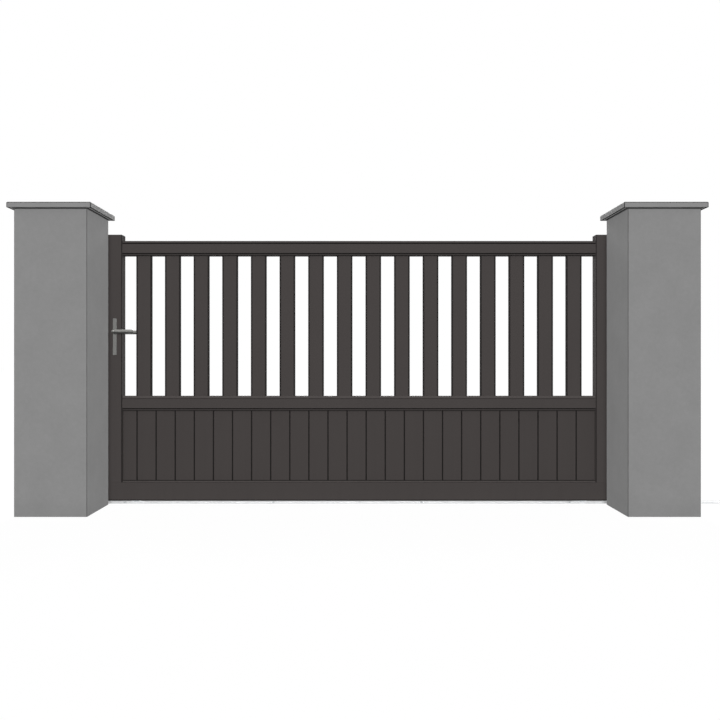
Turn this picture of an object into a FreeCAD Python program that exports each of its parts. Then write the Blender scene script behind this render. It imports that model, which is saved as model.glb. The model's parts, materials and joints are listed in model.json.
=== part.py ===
import FreeCAD
import Part
import math
import os

# Sliding driveway gate of coated aluminium extrusions between two rendered masonry pillars.
# Millimetres. X runs along the gate, Y away from the street, Z up.
# The origin is the centre of the left pillar's foot.

# Passage and pillars
PASSAGE_WIDTH = 3000.0
PILLAR_SIDE = 405.0
PILLAR_ABOVE_LEAF = 88.0
PILLAR_ARRIS = 3.0
CAP_THICKNESS = 30.0
CAP_OVERHANG = 30.0
CAP_CHAMFER = 4.0
DRIP_INSET = 12.0
DRIP_WIDTH = 8.0
DRIP_DEPTH = 5.0

# Leaf outline
PILLAR_GAP = 20.0
LEAF_LAP_LEFT = 25.5
LEAF_LAP_RIGHT = 43.5
GROUND_CLEARANCE = 20.0
STILE_WIDTH = 101.0
STILE_DEPTH = 80.0
STILE_LENGTH = 1495.0
STILE_WALL = 3.0
STILE_ARRIS = 2.0
END_CAP_THICKNESS = 3.0
END_CAP_PLUG_DEPTH = 15.0
END_CAP_PLUG_WALL = 2.0
FIT = 0.3

# Bottom rail
BOTTOM_RAIL_HEIGHT = 110.0
BOTTOM_RAIL_WALL = 3.0
LIP_HEIGHT = 9.0
LIP_DEPTH = 30.0

# Top and middle rails, one extrusion
RAIL_HEIGHT = 88.0
RAIL_DEPTH = 62.0
RAIL_WALL = 2.0
UPPER_SHOULDER_HEIGHT = 17.0
LOWER_SHOULDER_HEIGHT = 14.0
SHOULDER_RECESS = 3.0
SHADOW_GROOVE_WIDTH = 4.0
SHADOW_GROOVE_DEPTH = 3.0
TOP_RAIL_DROP = 33.5
MID_RAIL_BOTTOM = 564.0
COVER_WALL = 2.0
COVER_LEG = 9.0

# Slats and lower boards
SLAT_COUNT = 16
SLAT_WIDTH = 95.0
INFILL_THICKNESS = 20.0
INFILL_PLAY = 0.3
SLAT_WALL = 1.5
SLAT_BEVEL = 1.0
SLAT_TOP_PLAY = 2.0
BOARD_PITCH = 116.1
LAST_BOARD_TRIM = 3.5
BOARD_WALL = 1.5
NARROWEST_BOARD = 20.0
BOARD_GROOVE_WIDTH = 6.0
BOARD_GROOVE_DEPTH = 4.0
PANEL_TOP_PLAY = 4.0

# Ground track and wheels
TRACK_LEAD = 35.0
TRACK_TAIL = 25.0
TRACK_BASE_WIDTH = 60.0
TRACK_BASE_THICKNESS = 3.0
TRACK_BEAD_WIDTH = 16.0
TRACK_HEIGHT = 14.0
TRACK_HOLE_RADIUS = 5.0
TRACK_HOLE_FROM_EDGE = 9.0
TRACK_HOLE_FROM_END = 150.0
TRACK_HOLE_PAIRS = 4
WHEEL_INSET = 180.0
WHEEL_TREAD_RADIUS = 34.0
WHEEL_FLANGE_RADIUS = 41.0
WHEEL_WIDTH = 22.0
WHEEL_PLAY = 3.0
WHEEL_GROOVE_CHORDS = 6
AXLE_RADIUS = 6.0
FORK_WALL = 3.0
FORK_LENGTH = 104.0
FORK_RISE = 18.0
FORK_FOOT = 14.0

# Travel and its end stop
OPEN_LEVER_CLEARANCE = 56.0
STOP_CLEARANCE = 6.0
STOP_LENGTH = 60.0
STOP_HEIGHT = 90.0
STOP_WEB = 8.0
BUFFER_RADIUS = 15.0
BUFFER_LENGTH = 12.0
BUFFER_HEIGHT = 60.0

# Receiver channel on the left pillar
RECEIVER_WALL = 3.0
RECEIVER_CLEARANCE = 6.0
RECEIVER_END_CLEARANCE = 5.0
RECEIVER_MOUTH = 21.0
RECEIVER_LEG = 60.0
RECEIVER_ABOVE_LEAF_FOOT = 20.0
RECEIVER_BELOW_LEAF_TOP = 20.0
STRIKE_WIDTH = 16.0
STRIKE_HEIGHT = 44.0
PAD_WIDTH = 24.0
PAD_HEIGHT = 40.0
PAD_FROM_END = 50.0

# Upper guide rail, its bracket and rollers
GUIDE_RAIL_SIDE = 40.0
GUIDE_RAIL_WALL = 3.0
GUIDE_RAIL_DROP = 45.0
GUIDE_RAIL_SETBACK = 28.0
GUIDE_RAIL_PAST_BRACKET = 18.0
BRACKET_LENGTH = 220.0
BRACKET_FROM_CORNER = 59.5
BRACKET_THICKNESS = 6.0
BRACKET_UPSTAND = 58.0
BRACKET_ABOVE_LEAF = 17.0
BRACKET_LIP = 24.0
ROLLER_SPACING = 140.0
ROLLER_CLEARANCE = 0.3
ROLLER_HEIGHT = 20.0
ROLLER_ABOVE_FLOOR = 12.0
ROLLER_PIN_RADIUS = 6.0
ROLLER_SHOULDER_RADIUS = 9.0
ROLLER_NUT_RADIUS = 10.0
ROLLER_NUT_HEIGHT = 5.0

# Lock and handles
SPINDLE_INSET = 59.5
SPINDLE_HEIGHT = 1041.0
SPINDLE_SIDE = 8.0
SPINDLE_BORE_RADIUS = 7.0
SPINDLE_SOCKET = 26.0
PLATE_WIDTH = 22.0
PLATE_HEIGHT = 222.0
PLATE_BELOW_SPINDLE = 141.0
PLATE_THICKNESS = 8.0
PLATE_CORNER = 3.0
PLATE_BEVEL = 1.5
NECK_RADIUS = 8.0
NECK_TAIL = 3.0
NECK_HOLE_PLAY = 2.0
LEVER_STANDOFF = 45.0
LEVER_LENGTH = 120.0
LEVER_ELBOW = 14.0
LEVER_BEND_CHORDS = 4
NECK_FLARE_START = 14.0
NECK_FLARE_END = 24.0
GRIP_RADIUS = 12.0
LEVER_END_ROUND = 5.0
LEVER_END_CHORDS = 3
LOCK_CASE_THICKNESS = 15.0
LOCK_CASE_DEPTH = 72.0
LOCK_CASE_ABOVE = 45.0
LOCK_CASE_BELOW = 75.0
FACEPLATE_WIDTH = 24.0
FACEPLATE_ABOVE = 80.0
FACEPLATE_BELOW = 110.0
BOLT_WIDTH = 10.0
BOLT_HEIGHT = 30.0
BOLT_DEPTH = 40.0
BOLT_BELOW_SPINDLE = 40.0

# Derived places of the pillars
HALF_PILLAR = PILLAR_SIDE / 2
PASSAGE_RIGHT = HALF_PILLAR + PASSAGE_WIDTH
RIGHT_PILLAR_X = PASSAGE_RIGHT + HALF_PILLAR

# Derived places of the leaf
LEAF_LEFT = HALF_PILLAR - LEAF_LAP_LEFT
LEAF_RIGHT = PASSAGE_RIGHT + LEAF_LAP_RIGHT
LEAF_FRONT = HALF_PILLAR + PILLAR_GAP
LEAF_MIDDLE = LEAF_FRONT + STILE_DEPTH / 2
LEAF_BACK = LEAF_FRONT + STILE_DEPTH
CLEAR_LEFT = LEAF_LEFT + STILE_WIDTH
CLEAR_RIGHT = LEAF_RIGHT - STILE_WIDTH
STILE_BOTTOM = GROUND_CLEARANCE + BOTTOM_RAIL_HEIGHT
STILE_TOP = STILE_BOTTOM + STILE_LENGTH
PILLAR_HEIGHT = STILE_TOP + PILLAR_ABOVE_LEAF
TOP_RAIL_BOTTOM = STILE_TOP - TOP_RAIL_DROP - RAIL_HEIGHT
SLOT_HALF = INFILL_THICKNESS / 2 + INFILL_PLAY
SPINDLE_X = LEAF_LEFT + SPINDLE_INSET
AXLE_HEIGHT = TRACK_HEIGHT + FIT + WHEEL_TREAD_RADIUS
RECEIVER_BOTTOM = GROUND_CLEARANCE + RECEIVER_ABOVE_LEAF_FOOT
RECEIVER_TOP = STILE_TOP - RECEIVER_BELOW_LEAF_TOP
BRACKET_LEFT = PASSAGE_RIGHT + BRACKET_FROM_CORNER
BRACKET_RIGHT = BRACKET_LEFT + BRACKET_LENGTH

# Travel of the leaf: open, its lever still clears the right pillar
TRAVEL = PASSAGE_RIGHT - OPEN_LEVER_CLEARANCE - SPINDLE_X - LEVER_LENGTH
STOP_BUFFER_X = LEAF_RIGHT + END_CAP_THICKNESS + TRAVEL + STOP_CLEARANCE
STOP_PLATE_X = STOP_BUFFER_X + BUFFER_LENGTH
TRACK_START = LEAF_LEFT - TRACK_LEAD
TRACK_END = STOP_PLATE_X + STOP_LENGTH + TRACK_TAIL
TRACK_LENGTH = (TRACK_END - TRACK_START) / 2
TRACK_HOLE_SPREAD = TRACK_BASE_WIDTH - 2 * TRACK_HOLE_FROM_EDGE


def box(x0, x1, y0, y1, z0, z1):
    """Solid box between two corners."""
    return Part.makeBox(x1 - x0, y1 - y0, z1 - z0, FreeCAD.Vector(x0, y0, z0))


def along_x(x):
    """Section plane of a bar that runs along X: maps (u, v) to Y and Z at this x."""
    return lambda u, v: FreeCAD.Vector(x, u, v)


def along_y(y):
    """Section plane of a piece that runs along Y: maps (u, v) to X and Z at this y."""
    return lambda u, v: FreeCAD.Vector(u, y, v)


def along_z(z):
    """Section plane of an upright bar: maps (u, v) to X and Y at this z."""
    return lambda u, v: FreeCAD.Vector(u, v, z)


def polygon(plane, points):
    """Closed wire through the points (u, v)."""
    corners = [plane(u, v) for u, v in points]
    return Part.makePolygon([*corners, corners[0]])


def rectangle(plane, u0, u1, v0, v1):
    """Closed rectangular wire."""
    return polygon(plane, [(u0, v0), (u1, v0), (u1, v1), (u0, v1)])


def rounded_rectangle(plane, u0, u1, v0, v1, radius):
    """Closed rectangular wire with round corners."""
    centres = [
        (u1 - radius, v0 + radius, -90),
        (u1 - radius, v1 - radius, 0),
        (u0 + radius, v1 - radius, 90),
        (u0 + radius, v0 + radius, 180),
    ]
    arcs = []
    for u, v, start in centres:
        angles = [math.radians(start + turn) for turn in (0, 45, 90)]
        arcs.append([plane(u + radius * math.cos(a), v + radius * math.sin(a)) for a in angles])
    edges = []
    for arc, following in zip(arcs, arcs[1:] + arcs[:1]):
        edges.append(Part.Arc(*arc).toShape())
        edges.append(Part.LineSegment(arc[2], following[0]).toShape())
    return Part.Wire(edges)


def bevelled_rectangle(plane, u0, u1, v0, v1, bevel):
    """Closed rectangular wire with bevelled corners."""
    return polygon(plane, [
        (u0 + bevel, v0), (u1 - bevel, v0), (u1, v0 + bevel), (u1, v1 - bevel),
        (u1 - bevel, v1), (u0 + bevel, v1), (u0, v1 - bevel), (u0, v0 + bevel),
    ])


def extrusion(wires, run):
    """Solid of a hollow profile: the outer wire and the chambers inside it, pushed along run."""
    return Part.makeFace(wires, "Part::FaceMakerBullseye").extrude(FreeCAD.Vector(*run))


def cylinder(radius, start, run):
    """Solid cylinder from a start point along a run."""
    axis = FreeCAD.Vector(*run)
    return Part.makeCylinder(radius, axis.Length, FreeCAD.Vector(*start), axis)


def save(name, *solids):
    """Write one sub-part, of one or more solids that don't touch."""
    shape = solids[0] if len(solids) == 1 else Part.makeCompound(list(solids))
    shape.exportStep(os.path.join("parts", name + ".step"))


def pillar(centre_x):
    """Rendered pillar: one mass of masonry with slightly rounded upright corners."""
    outline = rounded_rectangle(
        along_z(0), centre_x - HALF_PILLAR, centre_x + HALF_PILLAR, -HALF_PILLAR, HALF_PILLAR, PILLAR_ARRIS
    )
    return extrusion([outline], (0, 0, PILLAR_HEIGHT))


def square_about(centre_x, half, z):
    """Square wire about a pillar's axis."""
    return rectangle(along_z(z), centre_x - half, centre_x + half, -half, half)


def pillar_cap(centre_x):
    """Flat cap slab: chamfered upper edge, and a drip groove cut round its underside."""
    half = HALF_PILLAR + CAP_OVERHANG
    slab = extrusion([square_about(centre_x, half, PILLAR_HEIGHT)], (0, 0, CAP_THICKNESS))
    top = PILLAR_HEIGHT + CAP_THICKNESS
    upper_edges = [edge for edge in slab.Edges if edge.BoundBox.ZMin > top - CAP_CHAMFER]
    slab = slab.makeChamfer(CAP_CHAMFER, upper_edges)
    outer = square_about(centre_x, half - DRIP_INSET, PILLAR_HEIGHT)
    inner = square_about(centre_x, half - DRIP_INSET - DRIP_WIDTH, PILLAR_HEIGHT)
    return slab.cut(extrusion([outer, inner], (0, 0, DRIP_DEPTH)))


def track(start_x):
    """Length of ground track: a flat base, a round bead to roll on, and two rows of anchor holes."""
    half_base = TRACK_BASE_WIDTH / 2
    bead = TRACK_BEAD_WIDTH / 2
    bead_centre = TRACK_HEIGHT - bead
    plane = along_x(start_x)
    corners = [
        (LEAF_MIDDLE - bead, bead_centre),
        (LEAF_MIDDLE - bead, TRACK_BASE_THICKNESS),
        (LEAF_MIDDLE - half_base, TRACK_BASE_THICKNESS),
        (LEAF_MIDDLE - half_base, 0),
        (LEAF_MIDDLE + half_base, 0),
        (LEAF_MIDDLE + half_base, TRACK_BASE_THICKNESS),
        (LEAF_MIDDLE + bead, TRACK_BASE_THICKNESS),
        (LEAF_MIDDLE + bead, bead_centre),
    ]
    base_line = Part.makePolygon([plane(u, v) for u, v in corners])
    crown = Part.Arc(plane(*corners[-1]), plane(LEAF_MIDDLE, TRACK_HEIGHT), plane(*corners[0]))
    bar = extrusion([Part.Wire([*base_line.Edges, crown.toShape()])], (TRACK_LENGTH, 0, 0))
    pitch = (TRACK_LENGTH - 2 * TRACK_HOLE_FROM_END) / (TRACK_HOLE_PAIRS - 1)
    for pair in range(TRACK_HOLE_PAIRS):
        x = start_x + TRACK_HOLE_FROM_END + pair * pitch
        for side in (-1, 1):
            centre = (x, LEAF_MIDDLE + side * TRACK_HOLE_SPREAD / 2, 0)
            bar = bar.cut(cylinder(TRACK_HOLE_RADIUS, centre, (0, 0, TRACK_BASE_THICKNESS)))
    return bar


def track_stop():
    """End stop: a saddle over the track's bead with an upright gusseted plate."""
    plate_x = STOP_PLATE_X
    half = TRACK_BASE_WIDTH / 2
    foot_top = TRACK_HEIGHT + STOP_WEB
    side = [
        (plate_x, TRACK_BASE_THICKNESS),
        (plate_x + STOP_LENGTH, TRACK_BASE_THICKNESS),
        (plate_x + STOP_LENGTH, foot_top),
        (plate_x + STOP_WEB, STOP_HEIGHT),
        (plate_x, STOP_HEIGHT),
    ]
    body = extrusion([polygon(along_y(LEAF_MIDDLE - half), side)], (0, TRACK_BASE_WIDTH, 0))
    groove_half = TRACK_BEAD_WIDTH / 2 + FIT
    groove = box(
        plate_x, plate_x + STOP_LENGTH,
        LEAF_MIDDLE - groove_half, LEAF_MIDDLE + groove_half,
        TRACK_BASE_THICKNESS, TRACK_HEIGHT + FIT,
    )
    inner = half - STOP_WEB
    pocket = box(
        plate_x + STOP_WEB, plate_x + STOP_LENGTH,
        LEAF_MIDDLE - inner, LEAF_MIDDLE + inner,
        foot_top, STOP_HEIGHT,
    )
    return body.cut(groove).cut(pocket)


def receiver_floor_x():
    """Face of the receiver channel that the closed leaf's edge comes up to."""
    return LEAF_LEFT - END_CAP_THICKNESS - RECEIVER_END_CLEARANCE


def receiver_channel():
    """Channel on the left pillar's back that takes the closing stile, with a strike slot for the bolt."""
    inner_x = receiver_floor_x()
    outer_x = inner_x - RECEIVER_WALL
    mouth_x = inner_x + RECEIVER_MOUTH
    leg_x = outer_x - RECEIVER_LEG
    front = LEAF_FRONT - RECEIVER_CLEARANCE
    back = LEAF_BACK + RECEIVER_CLEARANCE
    section = [
        (leg_x, HALF_PILLAR),
        (inner_x, HALF_PILLAR),
        (inner_x, front - RECEIVER_WALL),
        (mouth_x, front - RECEIVER_WALL),
        (mouth_x, front),
        (inner_x, front),
        (inner_x, back),
        (mouth_x, back),
        (mouth_x, back + RECEIVER_WALL),
        (outer_x, back + RECEIVER_WALL),
        (outer_x, HALF_PILLAR + RECEIVER_WALL),
        (leg_x, HALF_PILLAR + RECEIVER_WALL),
    ]
    bar = extrusion([polygon(along_z(RECEIVER_BOTTOM), section)], (0, 0, RECEIVER_TOP - RECEIVER_BOTTOM))
    bolt_z = SPINDLE_HEIGHT - BOLT_BELOW_SPINDLE
    strike = box(
        outer_x, inner_x,
        LEAF_MIDDLE - STRIKE_WIDTH / 2, LEAF_MIDDLE + STRIKE_WIDTH / 2,
        bolt_z - STRIKE_HEIGHT / 2, bolt_z + STRIKE_HEIGHT / 2,
    )
    return bar.cut(strike)


def rubber_buffers():
    """Round buffer on the end stop, and two pads in the receiver that stop the closing leaf."""
    solids = [cylinder(BUFFER_RADIUS, (STOP_BUFFER_X, LEAF_MIDDLE, BUFFER_HEIGHT), (BUFFER_LENGTH, 0, 0))]
    low_z = RECEIVER_BOTTOM + PAD_FROM_END
    high_z = RECEIVER_TOP - PAD_FROM_END
    for z, face_x in ((low_z, LEAF_LEFT - END_CAP_THICKNESS), (high_z, LEAF_LEFT)):
        solids.append(box(
            receiver_floor_x(), face_x - FIT,
            LEAF_MIDDLE - PAD_WIDTH / 2, LEAF_MIDDLE + PAD_WIDTH / 2,
            z - PAD_HEIGHT / 2, z + PAD_HEIGHT / 2,
        ))
    return solids


def hollow_bar(outline, plane, u0, u1, v0, v1, wall, arris, run):
    """Rectangular hollow section, with its outer corners rounded or bevelled by the outline."""
    outer = outline(plane, u0, u1, v0, v1, arris)
    inner = rectangle(plane, u0 + wall, u1 - wall, v0 + wall, v1 - wall)
    return extrusion([outer, inner], run)


def wheel_places():
    """X of the two wheels, the same distance in from each end of the leaf."""
    return LEAF_LEFT + WHEEL_INSET, LEAF_RIGHT - WHEEL_INSET


def bottom_rail():
    """Bottom beam under both stiles, a lip for the boards between them, and two wheel openings."""
    bar = hollow_bar(
        rounded_rectangle, along_x(LEAF_LEFT), LEAF_FRONT, LEAF_BACK, GROUND_CLEARANCE, STILE_BOTTOM,
        BOTTOM_RAIL_WALL, STILE_ARRIS, (LEAF_RIGHT - LEAF_LEFT, 0, 0),
    )
    lip_half = LIP_DEPTH / 2
    for inner, outer in ((-SLOT_HALF, -lip_half), (SLOT_HALF, lip_half)):
        y0 = LEAF_MIDDLE + min(inner, outer)
        y1 = LEAF_MIDDLE + max(inner, outer)
        bar = bar.fuse(box(CLEAR_LEFT, CLEAR_RIGHT, y0, y1, STILE_BOTTOM, STILE_BOTTOM + LIP_HEIGHT))
    half_width = WHEEL_WIDTH / 2 + WHEEL_PLAY
    for x in wheel_places():
        half_length = WHEEL_FLANGE_RADIUS + WHEEL_PLAY
        bar = bar.cut(box(
            x - half_length, x + half_length,
            LEAF_MIDDLE - half_width, LEAF_MIDDLE + half_width,
            GROUND_CLEARANCE, GROUND_CLEARANCE + BOTTOM_RAIL_WALL,
        ))
    return bar


def plugged_cap(plane, u0, u1, v0, v1, wall, outward, inward):
    """Plastic end cap: a plate the size of the bar and a hollow plug that fits inside it."""
    plate = extrusion([rounded_rectangle(plane, u0, u1, v0, v1, STILE_ARRIS)], outward)
    inset = wall + FIT
    thick = inset + END_CAP_PLUG_WALL
    outer = rectangle(plane, u0 + inset, u1 - inset, v0 + inset, v1 - inset)
    inner = rectangle(plane, u0 + thick, u1 - thick, v0 + thick, v1 - thick)
    return plate.fuse(extrusion([outer, inner], inward))


def bottom_rail_end_caps():
    """The two plastic caps that close the bottom beam."""
    caps = []
    for x, side in ((LEAF_LEFT, -1), (LEAF_RIGHT, 1)):
        caps.append(plugged_cap(
            along_x(x), LEAF_FRONT, LEAF_BACK, GROUND_CLEARANCE, STILE_BOTTOM, BOTTOM_RAIL_WALL,
            (side * END_CAP_THICKNESS, 0, 0), (-side * END_CAP_PLUG_DEPTH, 0, 0),
        ))
    return caps


def stile(x0):
    """Upright hollow section of the leaf's frame."""
    return hollow_bar(
        rounded_rectangle, along_z(STILE_BOTTOM), x0, x0 + STILE_WIDTH, LEAF_FRONT, LEAF_BACK,
        STILE_WALL, STILE_ARRIS, (0, 0, STILE_LENGTH),
    )


def left_stile():
    """Closing stile: pierced for the spindle, and slotted in its edge for the lock case."""
    bar = stile(LEAF_LEFT)
    hole = cylinder(
        NECK_RADIUS + NECK_HOLE_PLAY, (SPINDLE_X, LEAF_FRONT, SPINDLE_HEIGHT), (0, STILE_DEPTH, 0)
    )
    slot = box(
        LEAF_LEFT, LEAF_LEFT + STILE_WALL,
        LEAF_MIDDLE - LOCK_CASE_THICKNESS / 2 - FIT, LEAF_MIDDLE + LOCK_CASE_THICKNESS / 2 + FIT,
        SPINDLE_HEIGHT - LOCK_CASE_BELOW - FIT, SPINDLE_HEIGHT + LOCK_CASE_ABOVE + FIT,
    )
    return bar.cut(hole).cut(slot)


def stile_caps():
    """The two plastic caps on top of the stiles."""
    caps = []
    for x0 in (LEAF_LEFT, CLEAR_RIGHT):
        caps.append(plugged_cap(
            along_z(STILE_TOP), x0, x0 + STILE_WIDTH, LEAF_FRONT, LEAF_BACK, STILE_WALL,
            (0, 0, END_CAP_THICKNESS), (0, 0, -END_CAP_PLUG_DEPTH),
        ))
    return caps


def rail(bottom):
    """Top or middle rail: a band between stepped shoulders, shadow grooves, slots and hollow chambers."""
    plane = along_x(CLEAR_LEFT)
    face = RAIL_DEPTH / 2
    step = face - SHOULDER_RECESS
    groove = step - SHADOW_GROOVE_DEPTH
    band_low = LOWER_SHOULDER_HEIGHT
    band_high = RAIL_HEIGHT - UPPER_SHOULDER_HEIGHT
    half_outline = [
        (SLOT_HALF, band_low),
        (SLOT_HALF, 0),
        (step, 0),
        (step, band_low - SHADOW_GROOVE_WIDTH),
        (groove, band_low - SHADOW_GROOVE_WIDTH),
        (groove, band_low),
        (face, band_low),
        (face, band_high),
        (groove, band_high),
        (groove, band_high + SHADOW_GROOVE_WIDTH),
        (step, band_high + SHADOW_GROOVE_WIDTH),
        (step, RAIL_HEIGHT),
        (SLOT_HALF, RAIL_HEIGHT),
        (SLOT_HALF, band_high),
    ]
    outline = [(LEAF_MIDDLE + y, bottom + z) for y, z in half_outline]
    outline += [(LEAF_MIDDLE - y, bottom + z) for y, z in reversed(half_outline)]
    chambers = [rectangle(
        plane, LEAF_MIDDLE - face + RAIL_WALL, LEAF_MIDDLE + face - RAIL_WALL,
        bottom + band_low + RAIL_WALL, bottom + band_high - RAIL_WALL,
    )]
    inner = SLOT_HALF + RAIL_WALL
    outer = groove - RAIL_WALL
    for side in (-1, 1):
        y0 = LEAF_MIDDLE + min(side * inner, side * outer)
        y1 = LEAF_MIDDLE + max(side * inner, side * outer)
        chambers.append(rectangle(plane, y0, y1, bottom + RAIL_WALL, bottom + band_low))
        chambers.append(rectangle(plane, y0, y1, bottom + band_high, bottom + RAIL_HEIGHT - RAIL_WALL))
    return extrusion([polygon(plane, outline), *chambers], (CLEAR_RIGHT - CLEAR_LEFT, 0, 0))


def top_rail_cover():
    """Clip-in strip that closes the upper slot of the top rail."""
    half = INFILL_THICKNESS / 2
    top = TOP_RAIL_BOTTOM + RAIL_HEIGHT
    section = [
        (-half, top - COVER_LEG),
        (-half + COVER_WALL, top - COVER_LEG),
        (-half + COVER_WALL, top - COVER_WALL),
        (half - COVER_WALL, top - COVER_WALL),
        (half - COVER_WALL, top - COVER_LEG),
        (half, top - COVER_LEG),
        (half, top),
        (-half, top),
    ]
    outline = polygon(along_x(CLEAR_LEFT), [(LEAF_MIDDLE + y, z) for y, z in section])
    return extrusion([outline], (CLEAR_RIGHT - CLEAR_LEFT, 0, 0))


def slat(index):
    """Upright slat between the middle and the top rail, with equal gaps across the clear width."""
    gap = (CLEAR_RIGHT - CLEAR_LEFT - SLAT_COUNT * SLAT_WIDTH) / (SLAT_COUNT + 1)
    x0 = CLEAR_LEFT + gap + index * (SLAT_WIDTH + gap)
    foot = MID_RAIL_BOTTOM + RAIL_HEIGHT - UPPER_SHOULDER_HEIGHT
    head = TOP_RAIL_BOTTOM + LOWER_SHOULDER_HEIGHT - SLAT_TOP_PLAY
    half = INFILL_THICKNESS / 2
    return hollow_bar(
        bevelled_rectangle, along_z(foot), x0, x0 + SLAT_WIDTH, LEAF_MIDDLE - half, LEAF_MIDDLE + half,
        SLAT_WALL, SLAT_BEVEL, (0, 0, head - foot),
    )


def lower_panel():
    """Tongued boards as one skin: a groove at each joint on both faces, and two chambers a board."""
    left = CLEAR_LEFT + FIT
    right = CLEAR_RIGHT - FIT
    half = INFILL_THICKNESS / 2
    foot = STILE_BOTTOM
    head = MID_RAIL_BOTTOM + LOWER_SHOULDER_HEIGHT - PANEL_TOP_PLAY
    plane = along_z(foot)
    first_edge = CLEAR_RIGHT + LAST_BOARD_TRIM
    joint_count = int((first_edge - left - NARROWEST_BOARD) // BOARD_PITCH)
    joints = [first_edge - BOARD_PITCH * k for k in range(joint_count, 0, -1)]
    outline = [(left, LEAF_MIDDLE - half)]
    for x in joints:
        outline.append((x - BOARD_GROOVE_WIDTH / 2, LEAF_MIDDLE - half))
        outline.append((x, LEAF_MIDDLE - half + BOARD_GROOVE_DEPTH))
        outline.append((x + BOARD_GROOVE_WIDTH / 2, LEAF_MIDDLE - half))
    outline.append((right, LEAF_MIDDLE - half))
    outline += [(x, 2 * LEAF_MIDDLE - y) for x, y in reversed(outline)]
    wires = [polygon(plane, outline)]
    joint_wall = BOARD_GROOVE_WIDTH / 2 + BOARD_WALL
    edges = [left + BOARD_WALL - joint_wall, *joints, right - BOARD_WALL + joint_wall]
    for x0, x1 in zip(edges, edges[1:]):
        middle = (x0 + x1) / 2
        web = BOARD_WALL / 2
        for u0, u1 in ((x0 + joint_wall, middle - web), (middle + web, x1 - joint_wall)):
            wires.append(rectangle(
                plane, u0, u1, LEAF_MIDDLE - half + BOARD_WALL, LEAF_MIDDLE + half - BOARD_WALL
            ))
    return extrusion(wires, (0, 0, head - foot))


def guide_rail_floor():
    """Height of the upper guide rail's underside."""
    return STILE_TOP - GUIDE_RAIL_DROP - GUIDE_RAIL_SIDE


def upper_guide_rail():
    """Channel open upwards on the stiles' back, longer than the leaf on the opening side."""
    x0 = LEAF_LEFT + GUIDE_RAIL_SETBACK
    x1 = BRACKET_RIGHT + GUIDE_RAIL_PAST_BRACKET
    low = guide_rail_floor()
    high = low + GUIDE_RAIL_SIDE
    back = LEAF_BACK + GUIDE_RAIL_SIDE
    section = [
        (LEAF_BACK, low),
        (back, low),
        (back, high),
        (back - GUIDE_RAIL_WALL, high),
        (back - GUIDE_RAIL_WALL, low + GUIDE_RAIL_WALL),
        (LEAF_BACK + GUIDE_RAIL_WALL, low + GUIDE_RAIL_WALL),
        (LEAF_BACK + GUIDE_RAIL_WALL, high),
        (LEAF_BACK, high),
    ]
    return extrusion([polygon(along_x(x0), section)], (x1 - x0, 0, 0))


def roller_places():
    """X of the two guide rollers, centred in the bracket."""
    middle = (BRACKET_LEFT + BRACKET_RIGHT) / 2
    return middle - ROLLER_SPACING / 2, middle + ROLLER_SPACING / 2


def roller_levels():
    """Underside and top of the guide rollers."""
    low = guide_rail_floor() + GUIDE_RAIL_WALL + ROLLER_ABOVE_FLOOR
    return low, low + ROLLER_HEIGHT


def guide_bracket():
    """Bent steel bracket on the right pillar's back, with gussets and two shouldered roller pins."""
    plate_z = STILE_TOP + END_CAP_THICKNESS + BRACKET_ABOVE_LEAF
    upper_z = plate_z + BRACKET_THICKNESS
    lane = LEAF_BACK + GUIDE_RAIL_SIDE / 2
    tip_y = lane + BRACKET_LIP
    wall_y = HALF_PILLAR + BRACKET_THICKNESS
    profile = [
        (HALF_PILLAR, plate_z),
        (tip_y, plate_z),
        (tip_y, upper_z),
        (wall_y, upper_z),
        (wall_y, upper_z + BRACKET_UPSTAND),
        (HALF_PILLAR, upper_z + BRACKET_UPSTAND),
    ]
    bracket = extrusion([polygon(along_x(BRACKET_LEFT), profile)], (BRACKET_LENGTH, 0, 0))
    gusset = [(wall_y, upper_z), (wall_y + BRACKET_UPSTAND, upper_z), (wall_y, upper_z + BRACKET_UPSTAND)]
    for x in (BRACKET_LEFT, BRACKET_RIGHT - BRACKET_THICKNESS):
        bracket = bracket.fuse(extrusion([polygon(along_x(x), gusset)], (BRACKET_THICKNESS, 0, 0)))
    low, high = roller_levels()
    for x in roller_places():
        nut_z = low - ROLLER_NUT_HEIGHT
        tail = cylinder(ROLLER_PIN_RADIUS, (x, lane, nut_z), (0, 0, high + FIT - nut_z))
        shoulder = cylinder(ROLLER_SHOULDER_RADIUS, (x, lane, high + FIT), (0, 0, plate_z - high - FIT))
        nut = cylinder(ROLLER_NUT_RADIUS, (x, lane, nut_z), (0, 0, ROLLER_NUT_HEIGHT))
        bracket = bracket.fuse([tail, shoulder, nut])
    return bracket.removeSplitter()


def guide_rollers():
    """Two nylon rollers that run in the upper guide rail."""
    lane = LEAF_BACK + GUIDE_RAIL_SIDE / 2
    radius = GUIDE_RAIL_SIDE / 2 - GUIDE_RAIL_WALL - ROLLER_CLEARANCE
    low, high = roller_levels()
    rollers = []
    for x in roller_places():
        outer = cylinder(radius, (x, lane, low), (0, 0, high - low))
        bore = cylinder(ROLLER_PIN_RADIUS + FIT, (x, lane, low), (0, 0, high - low))
        rollers.append(outer.cut(bore))
    return rollers


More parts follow.
